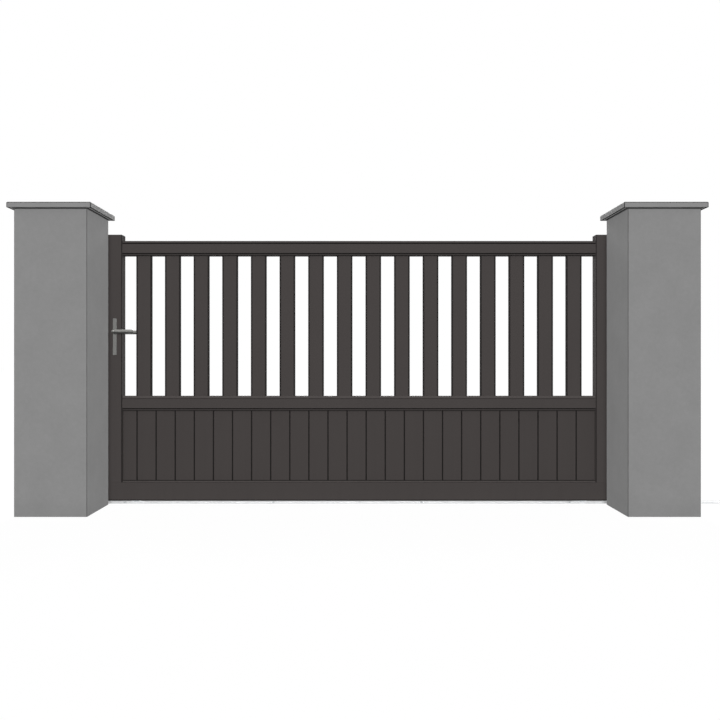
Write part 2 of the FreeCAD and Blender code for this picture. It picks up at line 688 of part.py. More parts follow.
def wheel(x):
    """Grooved wheel: a round tread, in short chords, that straddles the track's bead."""
    half = WHEEL_WIDTH / 2
    groove = TRACK_BEAD_WIDTH / 2 + FIT
    groove_centre = WHEEL_TREAD_RADIUS + groove
    half_angle = math.acos((groove_centre - WHEEL_FLANGE_RADIUS) / groove)
    bore = AXLE_RADIUS + FIT

    def place(axial, radial):
        return FreeCAD.Vector(x, LEAF_MIDDLE + axial, AXLE_HEIGHT + radial)

    corners = [
        (-half, WHEEL_FLANGE_RADIUS),
        (-half, bore),
        (half, bore),
        (half, WHEEL_FLANGE_RADIUS),
    ]
    for step in range(WHEEL_GROOVE_CHORDS + 1):
        angle = half_angle * (1 - 2 * step / WHEEL_GROOVE_CHORDS)
        corners.append((groove * math.sin(angle), groove_centre - groove * math.cos(angle)))
    outline = [place(axial, radial) for axial, radial in corners]
    section = Part.Face(Part.makePolygon([*outline, outline[0]]))
    return section.revolve(place(0, 0), FreeCAD.Vector(0, 1, 0), 360)


def wheel_carriage(x):
    """Wheel housing screwed to the beam's floor: two cheeks on feet, and the axle between them."""
    floor = GROUND_CLEARANCE + BOTTOM_RAIL_WALL
    cheek = WHEEL_WIDTH / 2 + WHEEL_PLAY
    top = AXLE_HEIGHT + FORK_RISE
    plane = along_x(x - FORK_LENGTH / 2)
    pieces = []
    for side in (-1, 1):
        section = [
            (cheek, floor),
            (cheek + FORK_FOOT, floor),
            (cheek + FORK_FOOT, floor + FORK_WALL),
            (cheek + FORK_WALL, floor + FORK_WALL),
            (cheek + FORK_WALL, top),
            (cheek, top),
        ]
        outline = polygon(plane, [(LEAF_MIDDLE + side * y, z) for y, z in section])
        pieces.append(extrusion([outline], (FORK_LENGTH, 0, 0)))
    reach = cheek + FORK_WALL
    axle = cylinder(AXLE_RADIUS, (x, LEAF_MIDDLE - reach, AXLE_HEIGHT), (0, 2 * reach, 0))
    return pieces[0].fuse([pieces[1], axle])


def lock():
    """Narrow lock: faceplate on the stile's edge, case inside it, and the retracted bolt."""
    face_x = LEAF_LEFT - END_CAP_THICKNESS
    plate = box(
        face_x, LEAF_LEFT,
        LEAF_MIDDLE - FACEPLATE_WIDTH / 2, LEAF_MIDDLE + FACEPLATE_WIDTH / 2,
        SPINDLE_HEIGHT - FACEPLATE_BELOW, SPINDLE_HEIGHT + FACEPLATE_ABOVE,
    )
    half = LOCK_CASE_THICKNESS / 2
    case = box(
        LEAF_LEFT, LEAF_LEFT + LOCK_CASE_DEPTH,
        LEAF_MIDDLE - half, LEAF_MIDDLE + half,
        SPINDLE_HEIGHT - LOCK_CASE_BELOW, SPINDLE_HEIGHT + LOCK_CASE_ABOVE,
    )
    bore = cylinder(
        SPINDLE_BORE_RADIUS, (SPINDLE_X, LEAF_MIDDLE - half, SPINDLE_HEIGHT), (0, LOCK_CASE_THICKNESS, 0)
    )
    bolt_z = SPINDLE_HEIGHT - BOLT_BELOW_SPINDLE
    bolt = box(
        face_x, face_x + BOLT_DEPTH,
        LEAF_MIDDLE - BOLT_WIDTH / 2, LEAF_MIDDLE + BOLT_WIDTH / 2,
        bolt_z - BOLT_HEIGHT / 2, bolt_z + BOLT_HEIGHT / 2,
    )
    pocket = box(
        face_x, face_x + BOLT_DEPTH,
        LEAF_MIDDLE - BOLT_WIDTH / 2 - FIT, LEAF_MIDDLE + BOLT_WIDTH / 2 + FIT,
        bolt_z - BOLT_HEIGHT / 2 - FIT, bolt_z + BOLT_HEIGHT / 2 + FIT,
    )
    return plate.fuse(case).cut(bore).cut(pocket), bolt


def handle_plate(side):
    """Long narrow plate on one face of the stile, bevelled, with the lever's bearing hole."""
    face_y = LEAF_MIDDLE + side * STILE_DEPTH / 2
    low = SPINDLE_HEIGHT - PLATE_BELOW_SPINDLE
    outline = bevelled_rectangle(
        along_y(face_y), SPINDLE_X - PLATE_WIDTH / 2, SPINDLE_X + PLATE_WIDTH / 2,
        low, low + PLATE_HEIGHT, PLATE_CORNER,
    )
    plate = extrusion([outline], (0, side * PLATE_THICKNESS, 0))
    outer_y = face_y + side * PLATE_THICKNESS
    rim = [
        edge for edge in plate.Edges
        if abs(edge.BoundBox.YMin - outer_y) < PLATE_BEVEL / 2 and abs(edge.BoundBox.YMax - outer_y) < PLATE_BEVEL / 2
    ]
    plate = plate.makeChamfer(PLATE_BEVEL, rim)
    hole = cylinder(NECK_RADIUS + FIT, (SPINDLE_X, face_y, SPINDLE_HEIGHT), (0, side * PLATE_THICKNESS, 0))
    return plate.cut(hole)


def lever(side):
    """Handle lever: a neck that swells to the grip's girth, an elbow in short chords, and a round grip."""
    face_y = LEAF_MIDDLE + side * STILE_DEPTH / 2
    grip_y = face_y + side * LEVER_STANDOFF
    tail_y = face_y - side * NECK_TAIL
    elbow_y = grip_y - side * LEVER_ELBOW

    def on_neck(radial, y):
        return FreeCAD.Vector(SPINDLE_X + radial, y, SPINDLE_HEIGHT)

    neck_outline = [
        on_neck(0, tail_y),
        on_neck(NECK_RADIUS, tail_y),
        on_neck(NECK_RADIUS, face_y + side * NECK_FLARE_START),
        on_neck(GRIP_RADIUS, face_y + side * NECK_FLARE_END),
        on_neck(GRIP_RADIUS, elbow_y),
        on_neck(0, elbow_y),
    ]
    neck_face = Part.Face(Part.makePolygon([*neck_outline, neck_outline[0]]))
    neck = neck_face.revolve(on_neck(0, 0), FreeCAD.Vector(0, 1, 0), 360)
    route = []
    for step in range(LEVER_BEND_CHORDS + 1):
        angle = math.radians(90 * step / LEVER_BEND_CHORDS)
        route.append(FreeCAD.Vector(
            SPINDLE_X + LEVER_ELBOW * (1 - math.cos(angle)),
            elbow_y + side * LEVER_ELBOW * math.sin(angle),
            SPINDLE_HEIGHT,
        ))
    before = FreeCAD.Vector(SPINDLE_X, elbow_y - side * NECK_TAIL, SPINDLE_HEIGHT)
    after = FreeCAD.Vector(SPINDLE_X + LEVER_ELBOW + NECK_TAIL, grip_y, SPINDLE_HEIGHT)
    ring = Part.Wire(Part.makeCircle(GRIP_RADIUS, before, FreeCAD.Vector(0, 1, 0)))
    mitred_corners = 1
    elbow = Part.makePolygon([before, *route, after]).makePipeShell([ring], True, False, mitred_corners)

    def on_grip(along, radial):
        return FreeCAD.Vector(SPINDLE_X + along, grip_y, SPINDLE_HEIGHT + radial)

    end_start = LEVER_LENGTH - LEVER_END_ROUND
    grip_outline = [on_grip(LEVER_ELBOW, 0), on_grip(LEVER_ELBOW, GRIP_RADIUS)]
    for step in range(LEVER_END_CHORDS + 1):
        angle = math.radians(90 * step / LEVER_END_CHORDS)
        grip_outline.append(on_grip(
            end_start + LEVER_END_ROUND * math.sin(angle),
            GRIP_RADIUS - LEVER_END_ROUND * (1 - math.cos(angle)),
        ))
    grip_outline.append(on_grip(LEVER_LENGTH, 0))
    grip_face = Part.Face(Part.makePolygon([*grip_outline, grip_outline[0]]))
    grip = grip_face.revolve(on_grip(0, 0), FreeCAD.Vector(1, 0, 0), 360)
    return neck.fuse([elbow, grip]).removeSplitter(), tail_y


def square_bar(half, y0, y1):
    """Square bar along the spindle's axis."""
    return box(
        SPINDLE_X - half, SPINDLE_X + half, min(y0, y1), max(y0, y1),
        SPINDLE_HEIGHT - half, SPINDLE_HEIGHT + half,
    )


def front_lever():
    """Street-side lever, with the socket that takes the square spindle."""
    shape, tail_y = lever(-1)
    return shape.cut(square_bar(SPINDLE_SIDE / 2 + FIT, tail_y - SPINDLE_SOCKET - FIT, tail_y))


def rear_lever():
    """Garden-side lever, with the square spindle that turns the front one."""
    shape, tail_y = lever(1)
    socket_floor = LEAF_FRONT + NECK_TAIL - SPINDLE_SOCKET
    return shape.fuse(square_bar(SPINDLE_SIDE / 2, socket_floor, tail_y))


def build():
    """Write every sub-part of the gate."""
    os.makedirs("parts", exist_ok=True)
    save("left_pillar", pillar(0))
    save("left_pillar_cap", pillar_cap(0))
    save("right_pillar", pillar(RIGHT_PILLAR_X))
    save("right_pillar_cap", pillar_cap(RIGHT_PILLAR_X))
    save("track_near", track(TRACK_START))
    save("track_far", track(TRACK_START + TRACK_LENGTH))
    save("track_stop", track_stop())
    save("receiver_channel", receiver_channel())
    save("rubber_buffers", *rubber_buffers())
    save("guide_bracket", guide_bracket())
    save("guide_rollers", *guide_rollers())
    save("bottom_rail", bottom_rail())
    save("bottom_rail_end_caps", *bottom_rail_end_caps())
    save("left_stile", left_stile())
    save("right_stile", stile(CLEAR_RIGHT))
    save("stile_caps", *stile_caps())
    save("mid_rail", rail(MID_RAIL_BOTTOM))
    save("top_rail", rail(TOP_RAIL_BOTTOM))
    save("top_rail_cover", top_rail_cover())
    save("lower_panel", lower_panel())
    for index in range(SLAT_COUNT):
        save(f"slat_{index + 1:02d}", slat(index))
    save("upper_guide_rail", upper_guide_rail())
    save("wheels", *[wheel(x) for x in wheel_places()])
    save("wheel_carriages", *[wheel_carriage(x) for x in wheel_places()])
    save("lock_faceplate", *lock())
    save("front_handle_plate", handle_plate(-1))
    save("rear_handle_plate", handle_plate(1))
    save("front_lever", front_lever())
    save("rear_lever", rear_lever())


build()
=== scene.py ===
"""Looks of the sliding driveway gate: finishes, small fittings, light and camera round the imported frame."""

import json
import logging
import math
from dataclasses import dataclass
from enum import Enum
from typing import Any, Union

import bmesh
import bpy
import numpy as np
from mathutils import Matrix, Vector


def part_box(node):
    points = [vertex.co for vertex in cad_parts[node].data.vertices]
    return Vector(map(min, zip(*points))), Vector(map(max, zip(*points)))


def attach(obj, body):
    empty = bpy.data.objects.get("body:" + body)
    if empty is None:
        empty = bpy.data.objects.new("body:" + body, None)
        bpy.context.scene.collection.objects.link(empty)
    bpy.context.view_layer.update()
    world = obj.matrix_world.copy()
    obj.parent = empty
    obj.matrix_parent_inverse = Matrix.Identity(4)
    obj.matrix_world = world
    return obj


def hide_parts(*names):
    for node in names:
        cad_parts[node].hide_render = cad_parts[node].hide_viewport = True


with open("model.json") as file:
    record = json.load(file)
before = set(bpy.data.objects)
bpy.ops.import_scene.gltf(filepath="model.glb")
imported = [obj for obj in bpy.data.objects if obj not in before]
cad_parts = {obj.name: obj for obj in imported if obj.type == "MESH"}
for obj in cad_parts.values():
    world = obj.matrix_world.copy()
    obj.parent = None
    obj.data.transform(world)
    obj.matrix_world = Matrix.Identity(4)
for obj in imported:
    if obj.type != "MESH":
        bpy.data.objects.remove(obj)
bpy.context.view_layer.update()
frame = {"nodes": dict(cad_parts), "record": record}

LOG = logging.getLogger("gate")

Colour = tuple[float, float, float]
Triple = tuple[float, float, float]
Value = Union["Signal", float, tuple]

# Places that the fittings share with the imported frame, in metres
LEAF_MIDDLE = sum(corner[1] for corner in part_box("left_stile")) / 2
SPINDLE_X, _, SPINDLE_Z = next(
    joint["pos_m"] for joint in frame["record"]["behaviour"]["joints"] if joint["name"] == "lever_turn"
)
RING_POINTS = 24


def srgb(red: float, green: float, blue: float) -> Colour:
    """Turn a colour as a screen shows it into the linear values a shader takes.

    Args:
        red: red from 0 to 255.
        green: green from 0 to 255.
        blue: blue from 0 to 255.

    Returns:
        The three linear values from 0 to 1.
    """
    def one(level: float) -> float:
        """Undo the screen's curve for one channel."""
        part = level / 255.0
        return part / 12.92 if part <= 0.04045 else ((part + 0.055) / 1.055) ** 2.4

    return one(red), one(green), one(blue)


def shade(colour: Colour, factor: float) -> Colour:
    """Make a colour lighter or darker by a factor."""
    return colour[0] * factor, colour[1] * factor, colour[2] * factor


class Signal:
    """One output of a shader node. Sums and products of signals add Math nodes to the tree."""

    def __init__(self, shader: "Shader", socket: bpy.types.NodeSocket) -> None:
        """Keep the shader and the socket that this signal stands for."""
        self.shader = shader
        self.socket = socket

    def math(self, operation: str, first: Value, second: Value = 0.0) -> "Signal":
        """Add one Math node.

        Args:
            operation: Blender's name of the operation.
            first: first operand.
            second: second operand.

        Returns:
            The node's result.
        """
        return self.shader.node(
            "ShaderNodeMath", {"operation": operation}, {"Value": first, "Value_001": second}
        )

    def __add__(self, other: Value) -> "Signal":
        """Return self + other."""
        return self.math("ADD", self, other)

    def __radd__(self, other: Value) -> "Signal":
        """Return other + self."""
        return self.math("ADD", other, self)

    def __sub__(self, other: Value) -> "Signal":
        """Return self - other."""
        return self.math("SUBTRACT", self, other)

    def __rsub__(self, other: Value) -> "Signal":
        """Return other - self."""
        return self.math("SUBTRACT", other, self)

    def __mul__(self, other: Value) -> "Signal":
        """Return self * other."""
        return self.math("MULTIPLY", self, other)

    def __rmul__(self, other: Value) -> "Signal":
        """Return other * self."""
        return self.math("MULTIPLY", other, self)

    def __abs__(self) -> "Signal":
        """Return the signal without its sign."""
        return self.math("ABSOLUTE", self)

    def least(self, other: Value) -> "Signal":
        """Return the smaller of the two at each point."""
        return self.math("MINIMUM", self, other)

    def most(self, other: Value) -> "Signal":
        """Return the larger of the two at each point."""
        return self.math("MAXIMUM", self, other)


class Shader:
    """One material and the nodes of its tree."""

    def __init__(self, name: str) -> None:
        """Start a material with nothing but its output node."""
        self.material = bpy.data.materials.new(name)
        self.material.use_nodes = True
        self.tree = self.material.node_tree
        self.tree.nodes.clear()

    def node(
        self, kind: str, settings: dict[str, Any], values: dict[str, Value], output: str = ""
    ) -> Signal:
        """Add one node of any type.

        Args:
            kind: Blender's type name of the node.
            settings: properties that are set first; "stops" fills a colour ramp.
            values: numbers, colours or signals by socket identifier or name.
            output: identifier or name of the wanted output; the first one if empty.

        Returns:
            The wanted output, or the node's first input for an output node, which has no outputs.
        """
        node = self.tree.nodes.new(kind)
        for key, setting in settings.items():
            if key == "stops":
                self.fill_ramp(node.color_ramp, setting)
            else:
                setattr(node, key, setting)
        for key, value in values.items():
            socket = self.pick(node.inputs, key)
            if isinstance(value, Signal):
                self.tree.links.new(value.socket, socket)
            elif socket.type == "RGBA" and len(value) == 3:
                socket.default_value = (*value, 1.0)
            else:
                socket.default_value = value
        if not node.outputs:
            return Signal(self, node.inputs[0])
        return Signal(self, self.pick(node.outputs, output) if output else node.outputs[0])

    @staticmethod
    def pick(sockets: Any, key: str) -> bpy.types.NodeSocket:
        """Find a socket by its identifier, or else by its name.

        Args:
            sockets: a node's inputs or outputs.
            key: identifier or name.

        Returns:
            The socket.
        """
        found = [one for one in sockets if one.identifier == key] or [one for one in sockets if one.name == key]
        return found[0]

    @staticmethod
    def fill_ramp(ramp: bpy.types.ColorRamp, stops: list[tuple[float, Colour]]) -> None:
        """Set a colour ramp's stops.

        Args:
            ramp: the ramp.
            stops: place and colour of each stop.
        """
        while len(ramp.elements) < len(stops):
            ramp.elements.new(1.0)
        for element, (place, colour) in zip(ramp.elements, stops):
            element.position = place
            element.color = (*colour, 1.0)

    def place(self) -> Signal:
        """Coordinates of the point in the frame, in metres."""
        return self.node("ShaderNodeTexCoord", {}, {}, "Object")

    def axes(self) -> tuple[Signal, Signal, Signal]:
        """The point's x, y and z, in metres."""
        split = self.node("ShaderNodeSeparateXYZ", {}, {"Vector": self.place()}, "X")
        sockets = split.socket.node.outputs
        return Signal(self, sockets["X"]), Signal(self, sockets["Y"]), Signal(self, sockets["Z"])

    def stretched(self, scale: Triple) -> Signal:
        """Coordinates multiplied by a factor for each axis."""
        return self.node(
            "ShaderNodeMapping", {"vector_type": "POINT"}, {"Vector": self.place(), "Scale": scale}
        )

    def noise(self, per_metre: float, detail: float = 2.0, stretch: Triple = (1.0, 1.0, 1.0)) -> Signal:
        """Soft cloudy noise from 0 to 1, around 0.5.

        Args:
            per_metre: how many patches there are along a metre.
            detail: how many finer layers are added.
            stretch: factor for each axis; a small one draws the patches out along it.

        Returns:
            The noise.
        """
        return self.node(
            "ShaderNodeTexNoise", {"noise_dimensions": "3D"},
            {"Vector": self.stretched(stretch), "Scale": per_metre, "Detail": detail, "Roughness": 0.55},
            "Fac",
        )

    def cells(self, per_metre: float, output: str = "Distance") -> Signal:
        """Cells of a Voronoi pattern: the distance to each cell's centre, or its colour.

        Args:
            per_metre: how many cells there are along a metre.
            output: "Distance" or "Color".

        Returns:
            The wanted output.
        """
        return self.node(
            "ShaderNodeTexVoronoi", {"feature": "F1"}, {"Vector": self.place(), "Scale": per_metre}, output
        )

    def ramp(self, value: Value, low: float, high: float) -> Signal:
        """Smooth step of a value: 0 below low, 1 above high.

        Args:
            value: the value.
            low: where the step starts.
            high: where it ends; it may lie below low, which turns the step round.

        Returns:
            The step.
        """
        if high < low:
            return 1.0 - self.ramp(value, high, low)
        return self.node(
            "ShaderNodeMapRange", {"interpolation_type": "SMOOTHSTEP"},
            {"Value": value, "From Min": low, "From Max": high, "To Min": 0.0, "To Max": 1.0}, "Result",
        )

    def line(self, value: Value, middle: float, half: float, soft: float = 0.0006) -> Signal:
        """Narrow band: 1 where a value lies within half of the middle, 0 outside.

        Args:
            value: the value.
            middle: middle of the band.
            half: half its width.
            soft: width of its soft edge.

        Returns:
            The band.
        """
        return self.ramp(abs(value - middle), half + soft / 2, half - soft / 2)

    def between(self, value: Value, low: float, high: float) -> Signal:
        """Stretch a noise that lies around 0.5 to run from low to high."""
        return self.node(
            "ShaderNodeMapRange", {"clamp": False},
            {"Value": value, "From Min": 0.25, "From Max": 0.75, "To Min": low, "To Max": high}, "Result",
        )

    def blend(self, factor: Value, first: Value, second: Value) -> Signal:
        """Mix two colours.

        Args:
            factor: 0 gives the first, 1 the second.
            first: colour or signal.
            second: colour or signal.

        Returns:
            The mixed colour.
        """
        return self.node(
            "ShaderNodeMix", {"data_type": "RGBA", "blend_type": "MIX", "clamp_factor": True},
            {"Factor_Float": factor, "A_Color": first, "B_Color": second}, "Result_Color",
        )

    def tint(self, colour: Value, factor: Signal) -> Signal:
        """Multiply a colour by a grey signal."""
        return self.node(
            "ShaderNodeVectorMath", {"operation": "SCALE"}, {"Vector": colour, "Scale": factor}, "Vector"
        )

    def bump(self, height: Signal, depth: float) -> Signal:
        """Surface relief.

        Args:
            height: relief from 0 to 1.
            depth: depth of the whole relief, in metres.

        Returns:
            The bent normal.
        """
        return self.node(
            "ShaderNodeBump", {}, {"Height": height, "Distance": depth, "Strength": 1.0}, "Normal"
        )

    def principled(self, values: dict[str, Value]) -> bpy.types.Material:
        """Finish the material with a Principled surface.

        Args:
            values: constants or signals by socket.

        Returns:
            The material.
        """
        surface = self.node("ShaderNodeBsdfPrincipled", {}, values, "BSDF")
        self.node("ShaderNodeOutputMaterial", {}, {"Surface": surface})
        return self.material


@dataclass(frozen=True)
class RenderCoat:
    """Sponge-finished mineral render, mottled in soft clouds, with sand grain, a few pinholes and a painted shadow
    under the cap.
    """

    name: str = "mineral_render"
    colour: Colour = srgb(134, 134, 134)
    grain: float = 0.0007
    arris: float = 0.0035
    arris_shade: float = 0.42
    # factor of the painted shadow on the pillar's top, under the cap
    under_cap_painted_shadow: float = 0.30

    def material(self) -> bpy.types.Material:
        """Build the material."""
        shader = Shader(self.name)
        clouds = shader.noise(5.0, 4.0)
        sponge = shader.noise(46.0, 4.0)
        sand = shader.noise(620.0, 2.0)
        pinholes = shader.ramp(shader.cells(95.0), 0.10, 0.02) * shader.ramp(shader.noise(30.0), 0.58, 0.66)
        x, y, z = shader.axes()
        splash = shader.ramp(z + 0.10 * clouds, 0.20, 0.05)
        corners = 0.0
        for pillar in ("left_pillar", "right_pillar"):
            low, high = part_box(pillar)
            across = abs(abs(x - (low[0] + high[0]) / 2) - (high[0] - low[0]) / 2)
            along = abs(abs(y - (low[1] + high[1]) / 2) - (high[1] - low[1]) / 2)
            corners = shader.ramp(across.most(along), self.arris, self.arris - 0.001) + corners
        # painted shadow: the pillar's top 5 mm, under the cap's overhang, is darkened
        joint = shader.ramp(z, high[2] - 0.0055, high[2] - 0.0045)
        level = shader.between(clouds, 0.955, 1.045) * shader.between(sponge, 0.97, 1.03)
        level = level * (1.0 - (1.0 - self.arris_shade) * corners) * (1.0 - (1.0 - self.under_cap_painted_shadow) * joint)
        level = level * shader.between(sand, 0.965, 1.035) * (1.0 - 0.35 * pinholes) * (1.0 - 0.05 * splash)
        height = 0.55 * sand + 0.75 * sponge + 0.5 * clouds - 0.6 * pinholes
        return shader.principled({
            "Base Color": shader.tint(self.colour, level),
            "Roughness": shader.between(sponge, 0.86, 0.94),
            "Specular IOR Level": 0.12,
            "Normal": shader.bump(height, self.grain),
        })


@dataclass(frozen=True)
class CastStone:
    """Cast stone of the cap slabs: pale specks in a fine grey body, small air holes, and painted shade on the
    underside.
    """

    name: str = "cast_cap_stone"
    colour: Colour = srgb(135, 135, 135)
    grain: float = 0.0004
    arris: float = 0.0044
    arris_shade: float = 0.17
    # factor of the painted shade on the cap's underside
    underside_shade: float = 0.35

    def material(self) -> bpy.types.Material:
        """Build the material."""
        shader = Shader(self.name)
        clouds = shader.noise(7.0, 3.0)
        body = shader.noise(420.0, 3.0)
        specks = shader.ramp(shader.cells(310.0), 0.22, 0.12) * shader.ramp(shader.noise(170.0), 0.50, 0.60)
        holes = shader.ramp(shader.cells(70.0), 0.07, 0.03) * shader.ramp(shader.noise(24.0), 0.55, 0.62)
        level = shader.between(clouds, 0.96, 1.04) * shader.between(body, 0.95, 1.05)
        level = level * (1.0 + 0.10 * specks) * (1.0 - 0.4 * holes)
        x, y, z = shader.axes()
        edges = 0.0
        for cap in ("left_pillar_cap", "right_pillar_cap"):
            low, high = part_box(cap)
            across = abs(abs(x - (low[0] + high[0]) / 2) - (high[0] - low[0]) / 2)
            along = abs(abs(y - (low[1] + high[1]) / 2) - (high[1] - low[1]) / 2)
            below = abs(z - high[2])
            second = across.least(along).most(below).least(across.most(along))
            edges = shader.ramp(second, self.arris, self.arris - 0.001) + edges
        # painted shade: the cap's downward face is darkened
        underside = shader.ramp(z, low[2] + 0.0012, low[2] + 0.0004)
        level = level * (1.0 - (1.0 - self.arris_shade) * edges)
        level = level * (1.0 - (1.0 - self.underside_shade) * underside)
        return shader.principled({
            "Base Color": shader.tint(self.colour, level),
            "Roughness": shader.between(body, 0.74, 0.86),
            "Specular IOR Level": 0.15,
            "Normal": shader.bump(body + 0.4 * clouds - 0.8 * holes, self.grain),
        })


class Axis(Enum):
    """Axes of the frame."""

    X = 0
    Y = 1
    Z = 2


@dataclass(frozen=True)
class Recess:
    """Painted shade on the parts of a profile that lie back from its face: recesses, grooves and side faces.

    half_depth is the distance from the leaf's middle plane below which a point belongs to it.
    """

    half_depth: float
    shade: float


@dataclass(frozen=True)
class Band:
    """Narrow band across a profile, darker or lighter by its shade: dark lines, painted shade where two profiles
    meet, and painted highlights.

    It shows only farther than beyond from the leaf's middle plane.
    """

    axis: Axis
    middle: float
    half: float
    shade: float
    beyond: float = -1.0


@dataclass(frozen=True)
class Joints:
    """Equal dark lines along the leaf, one at each joint or edge of its infill."""

    first: float
    pitch: float
    half: float
    shade: float
    soft: float = 0.0006


@dataclass(frozen=True)
class PowderCoat:
    """Fine-textured powder coating on aluminium, with painted shade in recesses and on side faces, bands of painted
    shade and highlight, and dark lines along joints and edges.
    """

    name: str
    colour: Colour = srgb(66, 62, 61)
    recesses: tuple[Recess, ...] = ()
    bands: tuple[Band, ...] = ()
    joints: tuple[Joints, ...] = ()
    grain: float = 0.00006

    def material(self) -> bpy.types.Material:
        """Build the material."""
        shader = Shader(self.name)
        axes = shader.axes()
        texture = shader.noise(1300.0, 2.0)
        orange_peel = shader.noise(260.0, 1.0)
        clouds = shader.noise(2.2, 3.0)
        streaks = shader.noise(34.0, 3.0, (1.0, 1.0, 0.025))
        level = shader.between(clouds, 0.975, 1.025) * shader.between(streaks, 0.975, 1.025)
        level = level * shader.between(texture, 0.93, 1.07)
        from_middle = abs(axes[Axis.Y.value] - LEAF_MIDDLE)
        # painted shade on recesses, grooves and side faces
        for recess in self.recesses:
            inside = shader.ramp(from_middle, recess.half_depth, recess.half_depth - 0.0006)
            level = level * (1.0 - (1.0 - recess.shade) * inside)
        # bands of painted shade and painted highlight, and dark lines
        for band in self.bands:
            inside = shader.line(axes[band.axis.value], band.middle, band.half)
            if band.beyond > 0:
                inside = inside * shader.ramp(from_middle, band.beyond - 0.0006, band.beyond)
            level = level * (1.0 - (1.0 - band.shade) * inside)
        for joint in self.joints:
            steps = (axes[Axis.X.value] - (joint.first - joint.pitch / 2)) * (1.0 / joint.pitch)
            part = steps.math("FRACT", steps)
            inside = shader.line(part * joint.pitch, joint.pitch / 2, joint.half, joint.soft)
            level = level * (1.0 - (1.0 - joint.shade) * inside)
        z = axes[Axis.Z.value]
        dust = shader.ramp(z + 0.05 * streaks, 0.13, 0.02) * shader.between(streaks, 0.0, 0.03)
        return shader.principled({
            "Base Color": shader.blend(dust, shader.tint(self.colour, level), srgb(122, 116, 108)),
            "Roughness": shader.between(streaks, 0.54, 0.62),
            "Specular IOR Level": 0.05,
            "Normal": shader.bump(0.6 * texture + 0.6 * orange_peel, self.grain),
        })


@dataclass(frozen=True)
class BrushedMetal:
    """Bare metal with the fine lines of brushing or drawing along one axis."""

    name: str
    colour: Colour
    lines: Triple
    roughness: float = 0.36
    metallic: float = 0.85
    polish_above: float = 0.0
    # height at which painted light above meets painted shade below
    shade_below: float = 0.0
    weathered_from: float = 0.0

    def material(self) -> bpy.types.Material:
        """Build the material.

        Above polish_above, if it is set, the metal is run bright. Around shade_below, if it is set,
        painted light brightens the metal above and painted shade darkens it below, as on a lever's
        top and underside. Beyond weathered_from along the gate, if it is set, the metal is greyed by
        weather.
        """
        shader = Shader(self.name)
        x, _, z = shader.axes()
        fine = shader.noise(900.0, 3.0, self.lines)
        broad = shader.noise(160.0, 2.0, self.lines)
        clouds = shader.noise(9.0, 3.0)
        level = shader.between(fine, 0.93, 1.07) * shader.between(clouds, 0.96, 1.04)
        rough = shader.between(broad, self.roughness - 0.04, self.roughness + 0.05)
        if self.polish_above:
            bright = shader.ramp(z, self.polish_above, self.polish_above + 0.002)
            level = level * (1.0 + 0.12 * bright)
            rough = rough * (1.0 - 0.3 * bright)
        if self.weathered_from:
            level = level * (1.0 - 0.45 * shader.ramp(x, self.weathered_from, self.weathered_from + 0.25))
        # painted light on the upper side and painted shade on the underside
        if self.shade_below:
            upper = shader.ramp(z, self.shade_below - 0.004, self.shade_below + 0.006)
            level = level * shader.between(upper, 0.66, 1.05)
        return shader.principled({
            "Base Color": shader.tint(self.colour, level),
            "Roughness": rough,
            "Metallic": self.metallic,
            "Normal": shader.bump(fine, 0.00002),
        })


@dataclass(frozen=True)
class Galvanised:
    """Hot-dip zinc: angular spangles that differ in tone and gloss."""

    name: str = "galvanised_steel_spangle"
    colour: Colour = srgb(176, 179, 181)

    def material(self) -> bpy.types.Material:
        """Build the material."""
        shader = Shader(self.name)
        spangle = shader.node(
            "ShaderNodeRGBToBW", {}, {"Color": shader.cells(130.0, "Color")}, "Val"
        )
        bloom = shader.noise(60.0, 4.0)
        level = shader.between(spangle, 0.90, 1.06) * shader.between(bloom, 0.94, 1.05)
        return shader.principled({
            "Base Color": shader.tint(self.colour, level),
            "Roughness": shader.between(spangle, 0.40, 0.52) + shader.between(bloom, -0.03, 0.03),
            "Metallic": 0.75,
            "Normal": shader.bump(spangle + 0.6 * bloom, 0.00005),
        })


@dataclass(frozen=True)
class Moulded:
    """Moulded plastic or rubber with an eroded, slightly cloudy skin."""

    name: str
    colour: Colour
    roughness: float
    grain: float
    bloom: float = 0.06
    gloss: float = 0.12

    def material(self) -> bpy.types.Material:
        """Build the material."""
        shader = Shader(self.name)
        skin = shader.noise(1500.0, 2.0)
        clouds = shader.noise(38.0, 3.0)
        level = shader.between(skin, 0.92, 1.08) * shader.between(clouds, 1.0 - self.bloom, 1.0 + self.bloom)
        return shader.principled({
            "Base Color": shader.tint(self.colour, level),
            "Roughness": shader.between(clouds, self.roughness - 0.04, self.roughness + 0.04),
            "Specular IOR Level": self.gloss,
            "Normal": shader.bump(skin, self.grain),
        })


